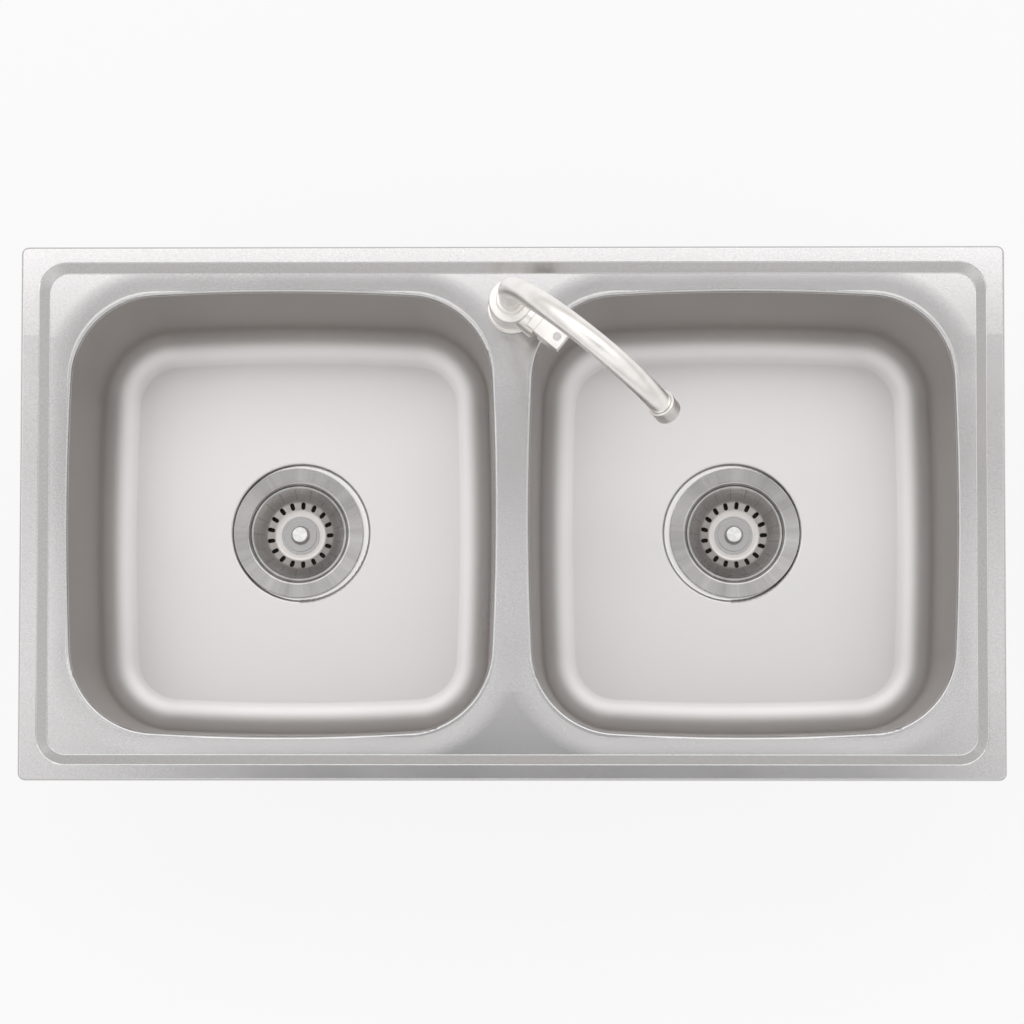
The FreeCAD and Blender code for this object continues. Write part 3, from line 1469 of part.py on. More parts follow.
def lever():
    """The cast lever: a tongue over the boss, and a block that tapers to its tip."""
    body = new_body("lever")
    side = new_sketch(body, "XZ_Plane", "lever_side")
    top = S.lever_top
    tongue_top = top - S.tongue_step
    tongue_under = top - S.tongue_thickness
    polygon(
        side,
        (
            (S.lever_shoulder, tongue_top),
            (S.lever_tail, tongue_top),
            (S.lever_tail, tongue_under),
            (S.lever_shoulder, tongue_under),
            (S.lever_root, tongue_under - (S.lever_root - S.lever_shoulder)),
            (S.lever_root, -S.lever_drop),
            (S.lever_belly, -S.lever_drop),
            (S.lever_tip, top - S.lever_tip_height),
            (S.lever_tip, top),
            (S.lever_shoulder, top),
        ),
    )
    pad_both_ways(body, side, S.lever_width, "lever_block")
    trim = new_sketch(body, "XY_Plane", "tongue_trim", top)
    half = S.lever_width / 2
    narrow = S.tongue_width / 2
    margin = S.lever_round
    back = S.lever_tail - margin
    box_outline(trim, back, S.lever_shoulder, narrow, half + margin)
    box_outline(trim, back, S.lever_shoulder, -half - margin, -narrow)
    pocket(body, trim, S.tongue_thickness + margin, "tongue_sides")
    round_edges(body, at_level(top), S.lever_round, "lever_top_round")
    on_tongue = at_level(tongue_top)
    joint = S.lever_shoulder.number - 1e-3
    round_edges(
        body,
        lambda edge: on_tongue(edge) and edge.BoundBox.XMin < joint,
        S.lever_round,
        "tongue_top_round",
    )
    hole = new_sketch(body, "YZ_Plane", "stem_hole_outline", S.lever_root)
    circle(hole, S.stem_radius + S.solder_gap)
    pocket(body, hole, S.stem_end - S.lever_root + S.solder_gap, "stem_hole", up=True)
    seat = new_sketch(body, "XY_Plane", "button_seat_outline", top)
    circle(seat, S.button_radius + S.solder_gap, S.button_reach, ZERO)
    pocket(body, seat, S.button_depth, "button_seat")
    grub = new_sketch(body, "XY_Plane", "grub_hole_outline", -S.lever_drop)
    circle(grub, S.grub_radius + S.thread_gap, S.grub_reach, ZERO)
    pocket(body, grub, S.lever_drop - S.stem_radius / 2, "grub_hole", up=True)
    return on_tap(body, lever_axis)


def lever_button():
    body = new_body("lever_index_button")
    outline = new_sketch(body, "XY_Plane", "index_button_outline")
    circle(outline, S.button_radius, S.button_reach, ZERO)
    height = S.button_depth + S.button_proud
    pad(body, outline, height, "index_button_disc")
    round_edges(body, at_level(height), S.button_proud * 0.8, "index_button_round")
    return on_tap(body, lever_axis + S.lever_top - S.button_depth)


def lever_grub_screw():
    body = new_body("lever_grub_screw")
    outline = new_sketch(body, "XY_Plane", "grub_outline")
    circle(outline, S.grub_radius, S.grub_reach, ZERO)
    pad(body, outline, S.lever_drop - S.stem_radius - S.thread_gap, "grub_rod")
    drive = new_sketch(body, "XY_Plane", "grub_drive_outline")
    circle(drive, S.grub_radius / 2, S.grub_reach, ZERO)
    pocket(body, drive, S.grub_radius / 2, "grub_drive", up=True)
    return on_tap(body, lever_axis - S.lever_drop)


# --- the whole object ------------------------------------------------------------------

pieces = [rim_gasket()]
for name, side in (("left", -1), ("right", 1)):
    seal_outer = S.seal_inner_radius + S.seal_width
    pieces += [
        deck(name, side),
        bowl(name, side),
        sound_pad(name, side),
        strainer_cup(name, side),
        flat_ring(
            name + "_cup_seal",
            S.seal_inner_radius,
            seal_outer,
            S.cup_seal_thickness,
            side,
            seat_top,
        ),
        flat_ring(
            name + "_under_gasket",
            S.seal_inner_radius,
            seal_outer,
            S.under_gasket_thickness,
            side,
            gasket_bottom,
        ),
        waste_body(name, side),
        centre_screw(name, side),
        basket(name, side),
        basket_seal(name, side),
        basket_knob(name, side),
    ]

bracket = clip_bracket_master()
edge_y = half_width - S.ledge_front + S.clip_overlap - clip_front_y
edge_x = half_length - S.ledge_side + S.clip_overlap - clip_end_x
hooks = {
    "long": clip_hook_master("clip_hook_master_long", edge_y),
    "end": clip_hook_master("clip_hook_master_end", edge_x),
}
screw = clip_screw_master()
pieces += [
    grouped("clip_brackets", {"long": bracket, "end": bracket}, bracket_bottom, ZERO),
    grouped("clip_hooks", hooks, hook_arm_bottom, ZERO),
    grouped(
        "clip_screws",
        {"long": screw, "end": screw},
        hook_arm_bottom - S.clip_head_height,
        screw_from_bowl,
    ),
]

pieces += [
    tap_ring(
        "tap_base_seal",
        S.tap_hole_radius,
        S.base_ring_radius - S.base_seal_thickness / 2,
        S.base_seal_thickness,
        deck_top,
    ),
    base_ring(),
    tap_body(),
    tap_shank(),
    tap_ring(
        "tap_rubber_washer",
        S.shank_radius + S.thread_gap * 4,
        S.washer_radius,
        S.rubber_washer_thickness,
        deck_under - S.rubber_washer_thickness,
    ),
    tap_ring(
        "tap_steel_washer",
        S.shank_radius + S.thread_gap * 4,
        S.washer_radius,
        S.steel_washer_thickness,
        deck_under - S.rubber_washer_thickness - S.steel_washer_thickness,
    ),
    back_nut(),
    spout_nut(),
    spout_bush(),
    cartridge_housing(),
    cartridge_nut(),
    spout_tube(),
    o_rings(),
    end_collar(),
    aerator_housing(),
    aerator_insert(),
    stem_carrier(),
    pivot_pin(),
    lever_stem(),
    lever(),
    lever_button(),
    lever_grub_screw(),
]

doc.recompute()
for item in doc.Objects:
    if "Invalid" in item.State or "Error" in item.State:
        raise RuntimeError("%s failed: %s" % (item.Name, item.State))
for piece in pieces:
    if piece.Shape.isNull() or not piece.Shape.isValid():
        raise RuntimeError(piece.Label + " has no valid shape")

os.makedirs("parts", exist_ok=True)
for piece in pieces:
    piece.Shape.exportStep("parts/%s.step" % piece.Label)
    box = piece.Shape.BoundBox
    print(
        "%-22s %3d solid  volume %10.1f  x %8.2f %8.2f  y %8.2f %8.2f  z %8.2f %8.2f"
        % (
            piece.Label,
            len(piece.Shape.Solids),
            piece.Shape.Volume,
            box.XMin,
            box.XMax,
            box.YMin,
            box.YMax,
            box.ZMin,
            box.ZMax,
        )
    )
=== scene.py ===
import json
import math
from functools import partial

import bpy
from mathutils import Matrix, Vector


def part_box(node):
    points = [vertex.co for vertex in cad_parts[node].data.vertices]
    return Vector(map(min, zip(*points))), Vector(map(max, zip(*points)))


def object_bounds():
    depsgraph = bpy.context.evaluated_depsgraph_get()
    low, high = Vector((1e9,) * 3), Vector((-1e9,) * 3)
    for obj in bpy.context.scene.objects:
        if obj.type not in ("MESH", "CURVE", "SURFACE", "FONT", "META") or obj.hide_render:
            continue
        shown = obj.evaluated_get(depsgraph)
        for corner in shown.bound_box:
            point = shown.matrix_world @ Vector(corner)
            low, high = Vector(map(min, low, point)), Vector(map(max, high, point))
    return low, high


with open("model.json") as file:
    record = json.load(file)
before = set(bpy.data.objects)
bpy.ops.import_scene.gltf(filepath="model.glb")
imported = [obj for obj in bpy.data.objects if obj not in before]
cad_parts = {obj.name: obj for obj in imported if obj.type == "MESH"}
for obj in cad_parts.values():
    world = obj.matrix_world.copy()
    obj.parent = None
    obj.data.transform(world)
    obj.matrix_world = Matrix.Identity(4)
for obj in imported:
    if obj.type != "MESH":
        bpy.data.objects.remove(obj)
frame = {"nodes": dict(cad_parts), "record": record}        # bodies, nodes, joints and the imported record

bl_info = {
    "name": "Double bowl kitchen sink",
    "version": (1, 0, 0),
    "blender": (4, 5, 0),
    "location": "View3D > Sidebar > Sink",
    "description": "Finishes and a studio for a pressed steel kitchen sink",
    "category": "Object",
}

CAD_BOX = [list(corner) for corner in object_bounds()]

# Lengths are in metres where nothing else is said.
SIDES = ("left", "right")
FULL_TURN = 2 * math.pi
WHITE = (1, 1, 1, 1)
BLACK = (0, 0, 0)

# Height of the surfaces' relief, from its lowest to its highest place.
SHEET_GRAIN = 0.0000035
BOWL_GRAIN = 0.000012
RING_RELIEF = 0.00001
POLISHED_RELIEF = 0.000004
CREASE_DEPTH = 0.00015

# Painted shade in the creases: a crease covers this share of the basket's colour, and keeps this share of
# its brightness.
CREASE_COVER = 0.6
CREASE_SHADE = 0.2

# Radius of a bowl's mouth at its corners, seen from above.
MOUTH_CORNER = 0.072

# A finish changes into another between two heights, which are given from a level of the piece.
BOWL_BEND = (-0.003, 0.022)         # from the bowl's floor
CUP_EDGE = (0.0005, 0.003)          # from the top of the basket's rim
KNOB_EDGE = (-0.004, -0.002)        # from the knob's top
SLOPE_FOOT = 0.004                  # from the basket's underside
SLOPE_TOP = -0.001                  # from the top of the basket's rim

# Noise lies mostly between these two values, so its colours are spread over them.
NOISE_LOW, NOISE_HIGH = 0.3, 0.7
SPECKS_PER_PATCH = 20

# The sockets of a Mix node that mixes colours: its other kinds use the same socket names.
MIX_FACTOR, MIX_FIRST, MIX_SECOND, MIX_RESULT = 0, 6, 7, 2

TAP_PIECES = (
    "tap_base_ring", "tap_body", "spout_nut", "spout_tube", "spout_end_collar",
    "aerator_housing", "lever",
)

# Even finishes: material name, colour, roughness, size of its patches, relief, metallic.
BUTTON_FINISH = ("pale_button", (0.8, 0.79, 0.78), 0.3, 0.004, POLISHED_RELIEF, 0.0)
SLOT_FINISHES = {
    "fixing_steel": ("zinc_plate", (0.6, 0.61, 0.62), 0.32, 0.01, 0.00001, 1.0),
    "fixing_brass": ("machined_brass", (0.78, 0.6, 0.3), 0.28, 0.01, 0.00001, 1.0),
    "black_rubber": ("black_rubber", (0.03, 0.03, 0.032), 0.6, 0.006, 0.00003, 0.0),
    "grey_foam": ("grey_foam", (0.22, 0.22, 0.23), 0.9, 0.01, 0.0002, 0.0),
    "pad_bitumen": ("bitumen_pad", (0.09, 0.09, 0.095), 0.8, 0.04, 0.0002, 0.0),
    "white_plastic": ("white_plastic", (0.82, 0.82, 0.8), 0.4, 0.02, 0.00003, 0.0),
    "grey_plastic": ("grey_plastic", (0.5, 0.5, 0.5), 0.45, 0.01, 0.00003, 0.0),
}

FLOOR_SIZE = 12
FLOOR_ROUGH = 0.9
FLOOR_WHITENESS = 0.85              # share of plain white in what the lens sees of the floor

# Lamps and cards: name, place, size, and the setting that holds the brightness.
LAMPS = (
    ("rim_panel", (-0.1, 0.72, 2.0), (2.4, 0.3), "rim_glow"),
    ("middle_panel", (0.0, 0.03, 2.2), (2.2, 0.24), "middle_glow"),
    ("rear_panel", (0.0, 1.5, 2.0), (3.2, 1.3), "rear_glow"),
    ("left_panel", (-1.35, 0.1, 2.0), (0.9, 2.0), "left_glow"),
)
CARDS = (
    ("front_card", (0.0, -0.22, 2.3), (1.2, 0.34), "front_card"),
    ("rear_card", (0.0, 0.38, 2.05), (1.5, 0.26), "rear_card"),
)
CARD_COLOUR = (1, 0.985, 0.97, 1)
ROOM_SIDES = 4
ROOM_RADIUS = 2.2                   # from the sink's middle to the upright cards
ROOM_CARD_MIDDLE = 0.85             # height of their middles
ROOM_CARD_HEIGHT = 1.1

CAMERA_PLACE = (0.06554, -0.27843, 2.54968)
CAMERA_TURN = (2.534, 0.715, 0.05)  # degrees
CAMERA_LENS = 110.83                # millimetres
SENSOR_WIDTH = 36                   # millimetres
CAMERA_SHIFT = (-0.04, 0.2)         # shares of the picture's width
CAMERA_REACH = 50


# --- settings -----------------------------------------------------------------------------


def colour(name, text, value):
    return bpy.props.FloatVectorProperty(
        name=name, description=text, subtype="COLOR", size=3, min=0, max=1, default=value
    )


def share(name, text, value):
    return bpy.props.FloatProperty(
        name=name, description=text, subtype="FACTOR", min=0, max=1, default=value
    )


def amount(name, text, value, **options):
    return bpy.props.FloatProperty(name=name, description=text, min=0, default=value, **options)


class SteelSettings(bpy.types.PropertyGroup):
    """Finish of the pressed sheet, the strainers and the tap."""

    sheet: colour("Sheet", "Colour of the pressed sheet", (0.6, 0.59, 0.59))
    sheet_rough: share("Sheet roughness", "Satin of the rim and the deck", 0.22)
    deck_fall: amount(
        "Deck fall", "Slope of the deck where it meets a bowl's mouth", 0.07, max=0.2
    )
    bowl: colour("Bowl floors", "Colour of the brushed bowl floors", (0.84, 0.825, 0.825))
    bowl_rough: share("Floor roughness", "Satin of the bowl floors", 0.4)
    # Painted shade: the walls are coloured darker than the floors to stand in for the shade that falls on
    # them; the draw's dulling is only their roughness.
    painted_wall_shade: colour("Bowl walls", "Colour of the walls, dulled by the draw", (0.45, 0.425, 0.405))
    wall_rough: share("Wall roughness", "Satin of the bowl walls", 0.56)
    strainer: colour("Strainers", "Colour of cups and basket rims", (0.5, 0.49, 0.48))
    strainer_rough: share("Strainer roughness", "Polish of cups and baskets", 0.22)
    # Painted shade: a cup below the basket's rim is coloured nearly black, standing in for the shade deep
    # inside it.
    cup_inside_shade: colour("Cup insides", "Colour of a cup below the basket's rim", (0.05, 0.048, 0.045))
    cup_inside_rough: share("Cup inside roughness", "Satin of a cup below the basket's rim", 0.6)
    basket: colour("Basket slope", "Colour of the basket below its rim", (0.66, 0.63, 0.61))
    basket_rough: share("Basket roughness", "Satin of the basket's slope", 0.4)
    # Painted highlight: the knob's top disc is coloured much lighter than the other steel, standing in for
    # the light that its flat polished top mirrors.
    knob: colour("Knob", "Colour of the knob's top disc", (0.9, 0.89, 0.885))
    knob_rough: share("Knob roughness", "Polish of the knob's top disc", 0.3)
    knob_foot: colour("Knob foot", "Colour of the knob's dished base", (0.5, 0.49, 0.49))
    tap: colour("Tap", "Colour of the tap's plating", (0.93, 0.9, 0.87))
    tap_rough: share("Tap roughness", "Polish of the tap", 0.34)


class StudioSettings(bpy.types.PropertyGroup):
    """Floor, lamps, cards and the light from all round."""

    floor: colour("Floor", "Colour of the floor", (0.9, 0.9, 0.9))
    floor_drop: amount(
        "Floor below outlets", "Gap under the waste outlets", 0.0, subtype="DISTANCE"
    )
    rim_glow: amount("Rim panel", "Brightness of the panel that the rear rim mirrors", 1.25)
    rear_glow: amount("Rear panel", "Brightness of the large panel behind that one", 0.55)
    left_glow: amount("Left panel", "Brightness of the panel above the left end", 0.3)
    middle_glow: amount("Middle panel", "Brightness of the panel above the bowls' middle", 0.3)
    front_card: share("Front card", "Brightness of the strip above the front", 0.0)
    rear_card: share("Rear card", "Brightness of the strip above the bowls' rear", 0.32)
    room_card: share("Room", "Brightness of the cards that stand round the sink", 0.68)
    world_light: amount("World light", "Strength of the even light from all round", 0.7)


# --- nodes --------------------------------------------------------------------------------


def new_group(name, outputs, **inputs):
    """An empty effect that takes a position and numbers, and puts out numbers."""
    group = bpy.data.node_groups.new(name, "ShaderNodeTree")
    group.interface.new_socket("Position", in_out="INPUT", socket_type="NodeSocketVector")
    for label, value in inputs.items():
        socket = group.interface.new_socket(
            label.replace("_", " "), in_out="INPUT", socket_type="NodeSocketFloat"
        )
        socket.default_value = value
    for label in outputs:
        group.interface.new_socket(label, in_out="OUTPUT", socket_type="NodeSocketFloat")
    inside = group.nodes.new("NodeGroupInput").outputs
    outside = group.nodes.new("NodeGroupOutput").inputs
    return group, inside, outside


def math_node(tree, operation, first, second=None, clamp=False):
    node = tree.nodes.new("ShaderNodeMath")
    node.operation = operation
    node.use_clamp = clamp
    for index, value in enumerate((first, second)):
        if value is None:
            continue
        if isinstance(value, bpy.types.NodeSocket):
            tree.links.new(value, node.inputs[index])
        else:
            node.inputs[index].default_value = value
    return node.outputs[0]


def flipped(tree, mask):
    return math_node(tree, "SUBTRACT", 1.0, mask)


def hypotenuse(tree, first, second):
    squares = [math_node(tree, "MULTIPLY", side, side) for side in (first, second)]
    return math_node(tree, "SQRT", math_node(tree, "ADD", *squares))


def axes(tree, vector):
    node = tree.nodes.new("ShaderNodeSeparateXYZ")
    tree.links.new(vector, node.inputs[0])
    return node.outputs


def noise_node(tree, place, detail, scale=1.0, roughness=0.5, distortion=0.0, line=False):
    """Noise in space, or along a line where the place is one number."""
    node = tree.nodes.new("ShaderNodeTexNoise")
    node.noise_dimensions = "1D" if line else "3D"
    node.inputs["Scale"].default_value = scale
    node.inputs["Detail"].default_value = detail
    node.inputs["Roughness"].default_value = roughness
    node.inputs["Distortion"].default_value = distortion
    tree.links.new(place, node.inputs["W" if line else "Vector"])
    return node.outputs["Fac"]


def seen_rays(tree):
    """1 for rays that show how a surface looks, and 0 for rays that carry its light."""
    path = tree.nodes.new("ShaderNodeLightPath")
    seen = path.outputs["Is Camera Ray"]
    for kind in ("Is Glossy Ray", "Is Transmission Ray"):
        seen = math_node(tree, "MAXIMUM", seen, path.outputs[kind])
    return seen


def mix_shaders(tree, part, first, second, output):
    """Puts out the first shader where the part is 0, and the second where it is 1."""
    mix = tree.nodes.new("ShaderNodeMixShader")
    for socket, source in zip(mix.inputs, (part, first.outputs[0], second.outputs[0])):
        tree.links.new(source, socket)
    tree.links.new(mix.outputs[0], tree.nodes[output].inputs["Surface"])


# --- shared effects -----------------------------------------------------------------------


def brushed_grain():
    """Fine lines along one axis, as left by a brushing belt."""
    group, inside, outside = new_group(
        "Brushed grain", ("Grain",), Line_length=0.03, Line_width=0.0006
    )
    stretched = group.nodes.new("ShaderNodeCombineXYZ")
    sizes = (inside["Line length"], inside["Line width"], inside["Line width"])
    for part, size, socket in zip(axes(group, inside["Position"]), sizes, stretched.inputs):
        group.links.new(math_node(group, "DIVIDE", part, size), socket)
    grain = noise_node(group, stretched.outputs[0], detail=3.0, roughness=0.6)
    group.links.new(grain, outside["Grain"])
    return group


def handling_marks():
    """Broad, faint patches: dried water, wiping and handling."""
    group, inside, outside = new_group(
        "Handling marks", ("Roughness", "Mask"), Patch_size=0.08, Strength=0.1, Base=0.3
    )
    calc = partial(math_node, group)
    scale = group.nodes.new("ShaderNodeVectorMath")
    scale.operation = "SCALE"
    group.links.new(inside["Position"], scale.inputs[0])
    group.links.new(calc("DIVIDE", 1.0, inside["Patch size"]), scale.inputs["Scale"])
    patches = noise_node(group, scale.outputs[0], detail=4.0, distortion=0.4)
    spread = calc("MULTIPLY", calc("SUBTRACT", patches, 0.5), inside["Strength"])
    rough = calc("ADD", inside["Base"], spread, clamp=True)
    group.links.new(rough, outside["Roughness"])
    group.links.new(patches, outside["Mask"])
    return group


def turned_rings():
    """Fine rings round the vertical axis, as left by a lathe, and a painted sheen in broad rays round it.
    """
    group, inside, outside = new_group("Turned rings", ("Height", "Sheen"), Ring_width=0.0006)
    calc = partial(math_node, group)
    x, y, _ = axes(group, inside["Position"])
    steps = calc("DIVIDE", hypotenuse(group, x, y), inside["Ring width"])
    group.links.new(noise_node(group, steps, detail=2.0, line=True), outside["Height"])
    turn = calc("ARCTAN2", y, x)
    around = group.nodes.new("ShaderNodeCombineXYZ")
    for operation, socket in zip(("COSINE", "SINE"), around.inputs):
        group.links.new(calc(operation, turn), socket)
    rays = noise_node(group, around.outputs[0], detail=5.0, scale=1.6, roughness=0.65)
    group.links.new(rays, outside["Sheen"])
    return group


def height_mask():
    """Rises evenly from 0 at one height to 1 at another."""
    group, inside, outside = new_group("Height mask", ("Mask",), Low=0.0, High=1.0)
    calc = partial(math_node, group)
    _, _, z = axes(group, inside["Position"])
    rise = calc("SUBTRACT", z, inside["Low"])
    span = calc("SUBTRACT", inside["High"], inside["Low"])
    group.links.new(calc("DIVIDE", rise, span, clamp=True), outside["Mask"])
    return group


def radial_creases():
    """Thin lines that run outwards between the slots of a basket."""
    group, inside, outside = new_group(
        "Radial creases", ("Mask",), Count=17.0, Inner=0.03, Outer=0.038, Half_width=0.0005
    )
    calc = partial(math_node, group)
    x, y, _ = axes(group, inside["Position"])
    radius = hypotenuse(group, x, y)
    pitches = calc("DIVIDE", calc("MULTIPLY", calc("ARCTAN2", y, x), inside["Count"]), FULL_TURN)
    aside = calc("ABSOLUTE", calc("SUBTRACT", calc("FRACT", pitches), 0.5))
    pitch = calc("DIVIDE", calc("MULTIPLY", radius, FULL_TURN), inside["Count"])
    half_widths = calc("DIVIDE", calc("MULTIPLY", aside, pitch), inside["Half width"])
    line = calc("SUBTRACT", 1.0, half_widths, clamp=True)
    fade = inside["Half width"]
    begin = calc("DIVIDE", calc("SUBTRACT", radius, inside["Inner"]), fade, clamp=True)
    end = calc("DIVIDE", calc("SUBTRACT", inside["Outer"], radius), fade, clamp=True)
    mask = calc("MULTIPLY", line, calc("MULTIPLY", begin, end))
    group.links.new(mask, outside["Mask"])
    return group


def mouth_fall():
    """The slight fall of the deck towards a bowl's mouth, flat again at the divider's middle."""
    group, inside, outside = new_group(
        "Mouth fall", ("Height",), Straight_x=0.1, Straight_y=0.1, Corner=0.07, Middle=0.19,
        Slope=0.06, Widest=0.02,
    )
    calc = partial(math_node, group)
    x, y, _ = axes(group, inside["Position"])
    along = calc("SUBTRACT", calc("ABSOLUTE", x), inside["Straight x"])
    across = calc("SUBTRACT", calc("ABSOLUTE", y), inside["Straight y"])
    out_x, out_y = calc("MAXIMUM", along, 0.0), calc("MAXIMUM", across, 0.0)
    straight_part = calc("MINIMUM", calc("MAXIMUM", along, across), 0.0)
    corner = inside["Corner"]
    reach = calc("SUBTRACT", calc("ADD", hypotenuse(group, out_x, out_y), straight_part), corner)
    middle = calc("SUBTRACT", inside["Middle"], inside["Straight x"])
    half_way = calc("SUBTRACT", hypotenuse(group, middle, out_y), corner)
    width = calc("MINIMUM", half_way, inside["Widest"])
    left_over = flipped(group, calc("DIVIDE", reach, width, clamp=True))
    curve = flipped(group, calc("MULTIPLY", left_over, left_over))
    fall = calc("MULTIPLY", calc("MULTIPLY", width, 0.5), inside["Slope"])
    group.links.new(calc("MULTIPLY", curve, fall), outside["Height"])
    return group


EFFECTS = {
    "grain": brushed_grain,
    "marks": handling_marks,
    "rings": turned_rings,
    "height": height_mask,
    "creases": radial_creases,
    "fall": mouth_fall,
}
GROUPS = {}


def effect(name):
    """The group of a shared effect, made when it is first asked for."""
    if name not in GROUPS:
        GROUPS[name] = EFFECTS[name]()
    return GROUPS[name]


# --- finishes -----------------------------------------------------------------------------


def shade(base, factor):
    return tuple(min(1.0, channel * factor) for channel in base)


class Finish:
    """One material under construction, with its shader and object position."""

    def __init__(self, name, base, rough, metallic=0.0):
        self.material = bpy.data.materials.new(name)
        self.material.use_nodes = True
        self.tree = self.material.node_tree
        self.shader = self.tree.nodes["Principled BSDF"]
        self.shader.inputs["Base Color"].default_value = (*base, 1)
        self.shader.inputs["Roughness"].default_value = rough
        self.shader.inputs["Metallic"].default_value = metallic
        self.position = self.tree.nodes.new("ShaderNodeTexCoord").outputs["Object"]
        self.rough = rough

    def link(self, source, label):
        """Links a value to a socket of the shader."""
        self.tree.links.new(source, self.shader.inputs[label])

    def linked(self, label):
        """The value that is linked to a socket of the shader."""
        return self.shader.inputs[label].links[0].from_socket

    def centred(self, x):
        """Position measured from an upright axis at x."""
        mapping = self.tree.nodes.new("ShaderNodeMapping")
        mapping.inputs["Location"].default_value = (-x, 0, 0)
        self.tree.links.new(self.position, mapping.inputs["Vector"])
        return mapping.outputs[0]

    def place(self, name, position=None, **values):
        """Puts a shared effect into the material, with values for its inputs."""
        node = self.tree.nodes.new("ShaderNodeGroup")
        node.node_tree = effect(name)
        self.tree.links.new(position or self.position, node.inputs["Position"])
        for label, value in values.items():
            node.inputs[label.replace("_", " ")].default_value = value
        return node.outputs

    def bump(self, height, distance):
        node = self.tree.nodes.new("ShaderNodeBump")
        node.inputs["Strength"].default_value = 1.0
        node.inputs["Distance"].default_value = distance
        self.tree.links.new(height, node.inputs["Height"])
        self.link(node.outputs[0], "Normal")

    def vary_roughness(self, patch, strength):
        marks = self.place("marks", Patch_size=patch, Strength=strength, Base=self.rough)
        self.link(marks["Roughness"], "Roughness")
        return marks["Mask"]

    def vary_colour(self, noise, base, dark, light):
        """Spreads noise between a darker and a lighter shade of a colour."""
        ramp = self.tree.nodes.new("ShaderNodeValToRGB")
        ends = ((NOISE_LOW, dark), (NOISE_HIGH, light))
        for element, (position, factor) in zip(ramp.color_ramp.elements, ends):
            element.position = position
            element.color = (*shade(base, factor), 1)
        self.tree.links.new(noise, ramp.inputs[0])
        self.link(ramp.outputs[0], "Base Color")

    def colour_mix(self, mask):
        """A mix of two colours, the first at mask 0 and the second at mask 1."""
        mix = self.tree.nodes.new("ShaderNodeMix")
        mix.data_type = "RGBA"
        self.tree.links.new(mask, mix.inputs[MIX_FACTOR])
        return mix

    def blend_colours(self, mask, first, second):
        """Goes from one colour, at mask 0, to another, at mask 1."""
        mix = self.colour_mix(mask)
        mix.inputs[MIX_FIRST].default_value = (*first, 1)
        mix.inputs[MIX_SECOND].default_value = (*second, 1)
        self.link(mix.outputs[MIX_RESULT], "Base Color")

    def tint_below(self, mask, tint):
        """Keeps the colour that is linked where the mask is 1, and tints it where it is 0."""
        mix = self.colour_mix(mask)
        mix.inputs[MIX_FIRST].default_value = (*tint, 1)
        self.tree.links.new(self.linked("Base Color"), mix.inputs[MIX_SECOND])
        self.link(mix.outputs[MIX_RESULT], "Base Color")

    def blend_roughness(self, mask, spread):
        """Adds a share of the mask to the roughness that is linked."""
        added = math_node(self.tree, "MULTIPLY", mask, spread)
        total = math_node(self.tree, "ADD", self.linked("Roughness"), added, clamp=True)
        self.link(total, "Roughness")


def pressed_sheet(name, base, rough, bowl_box, slope):
    """Satin sheet with a frosted grain, which falls a little towards a bowl's mouth."""
    finish = Finish(name, base, rough, metallic=1.0)
    finish.vary_roughness(patch=0.09, strength=0.06)
    grain = finish.place("grain", Line_length=0.0016, Line_width=0.0011)["Grain"]
    finish.vary_colour(grain, base, dark=0.93, light=1.07)
    low, high = bowl_box
    middle = (low.x + high.x) / 2
    fall = finish.place(
        "fall", position=finish.centred(middle), Slope=slope, Corner=MOUTH_CORNER,
        Straight_x=(high.x - low.x) / 2 - MOUTH_CORNER,
        Straight_y=(high.y - low.y) / 2 - MOUTH_CORNER,
        Middle=abs(middle),
    )["Height"]
    relief = math_node(finish.tree, "MULTIPLY", grain, SHEET_GRAIN)
    finish.bump(math_node(finish.tree, "ADD", relief, fall), 1.0)
    return finish.material


def drawn_metal(name, floor, painted_wall_shade, rough, wall_rough, heights):
    """Steel of a bowl: a brushed floor, and rougher walls that are coloured darker as painted shade."""
    finish = Finish(name, floor, rough, metallic=1.0)
    finish.vary_roughness(patch=0.12, strength=0.08)
    low, high = heights
    mask = finish.place("height", Low=low, High=high)["Mask"]
    # Painted shade: up the bend the colour goes from the floor's to the darker walls'.
    finish.blend_colours(mask, floor, painted_wall_shade)
    finish.blend_roughness(mask, wall_rough - rough)
    grain = finish.place("grain", Line_length=0.004, Line_width=0.0012)["Grain"]
    finish.bump(grain, BOWL_GRAIN)
    return finish.material


def turned_metal(name, centre, upper, lower, heights, relief=RING_RELIEF, creased=False):
    """Polished steel with rings and a painted sheen round the outlet's axis, another finish low down, and,
    if creased, creases darkened as painted shade.
    """
    base, rough = upper
    low_base, low_rough = lower
    low, high = heights
    finish = Finish(name, base, rough, metallic=1.0)
    calc = partial(math_node, finish.tree)
    finish.vary_roughness(patch=0.03, strength=0.08)
    rings = finish.place("rings", position=finish.centred(centre), Ring_width=0.0007)
    # Painted sheen: the colour is lighter and darker in broad rays round the axis.
    finish.vary_colour(rings["Sheen"], base, dark=0.78, light=1.22)
    above = finish.place("height", Low=low, High=high)["Mask"]
    finish.tint_below(above, low_base)
    finish.blend_roughness(flipped(finish.tree, above), low_rough - rough)
    height = rings["Height"]
    if creased:
        creases = finish.place("creases", position=finish.centred(centre))["Mask"]
        # Painted shade: the creases are darkened in colour, as well as sunk by the bump.
        clear = flipped(finish.tree, calc("MULTIPLY", creases, CREASE_COVER))
        finish.tint_below(clear, shade(low_base, CREASE_SHADE))
        height = calc("SUBTRACT", height, calc("MULTIPLY", creases, CREASE_DEPTH / relief))
    finish.bump(height, relief)
    return finish.material


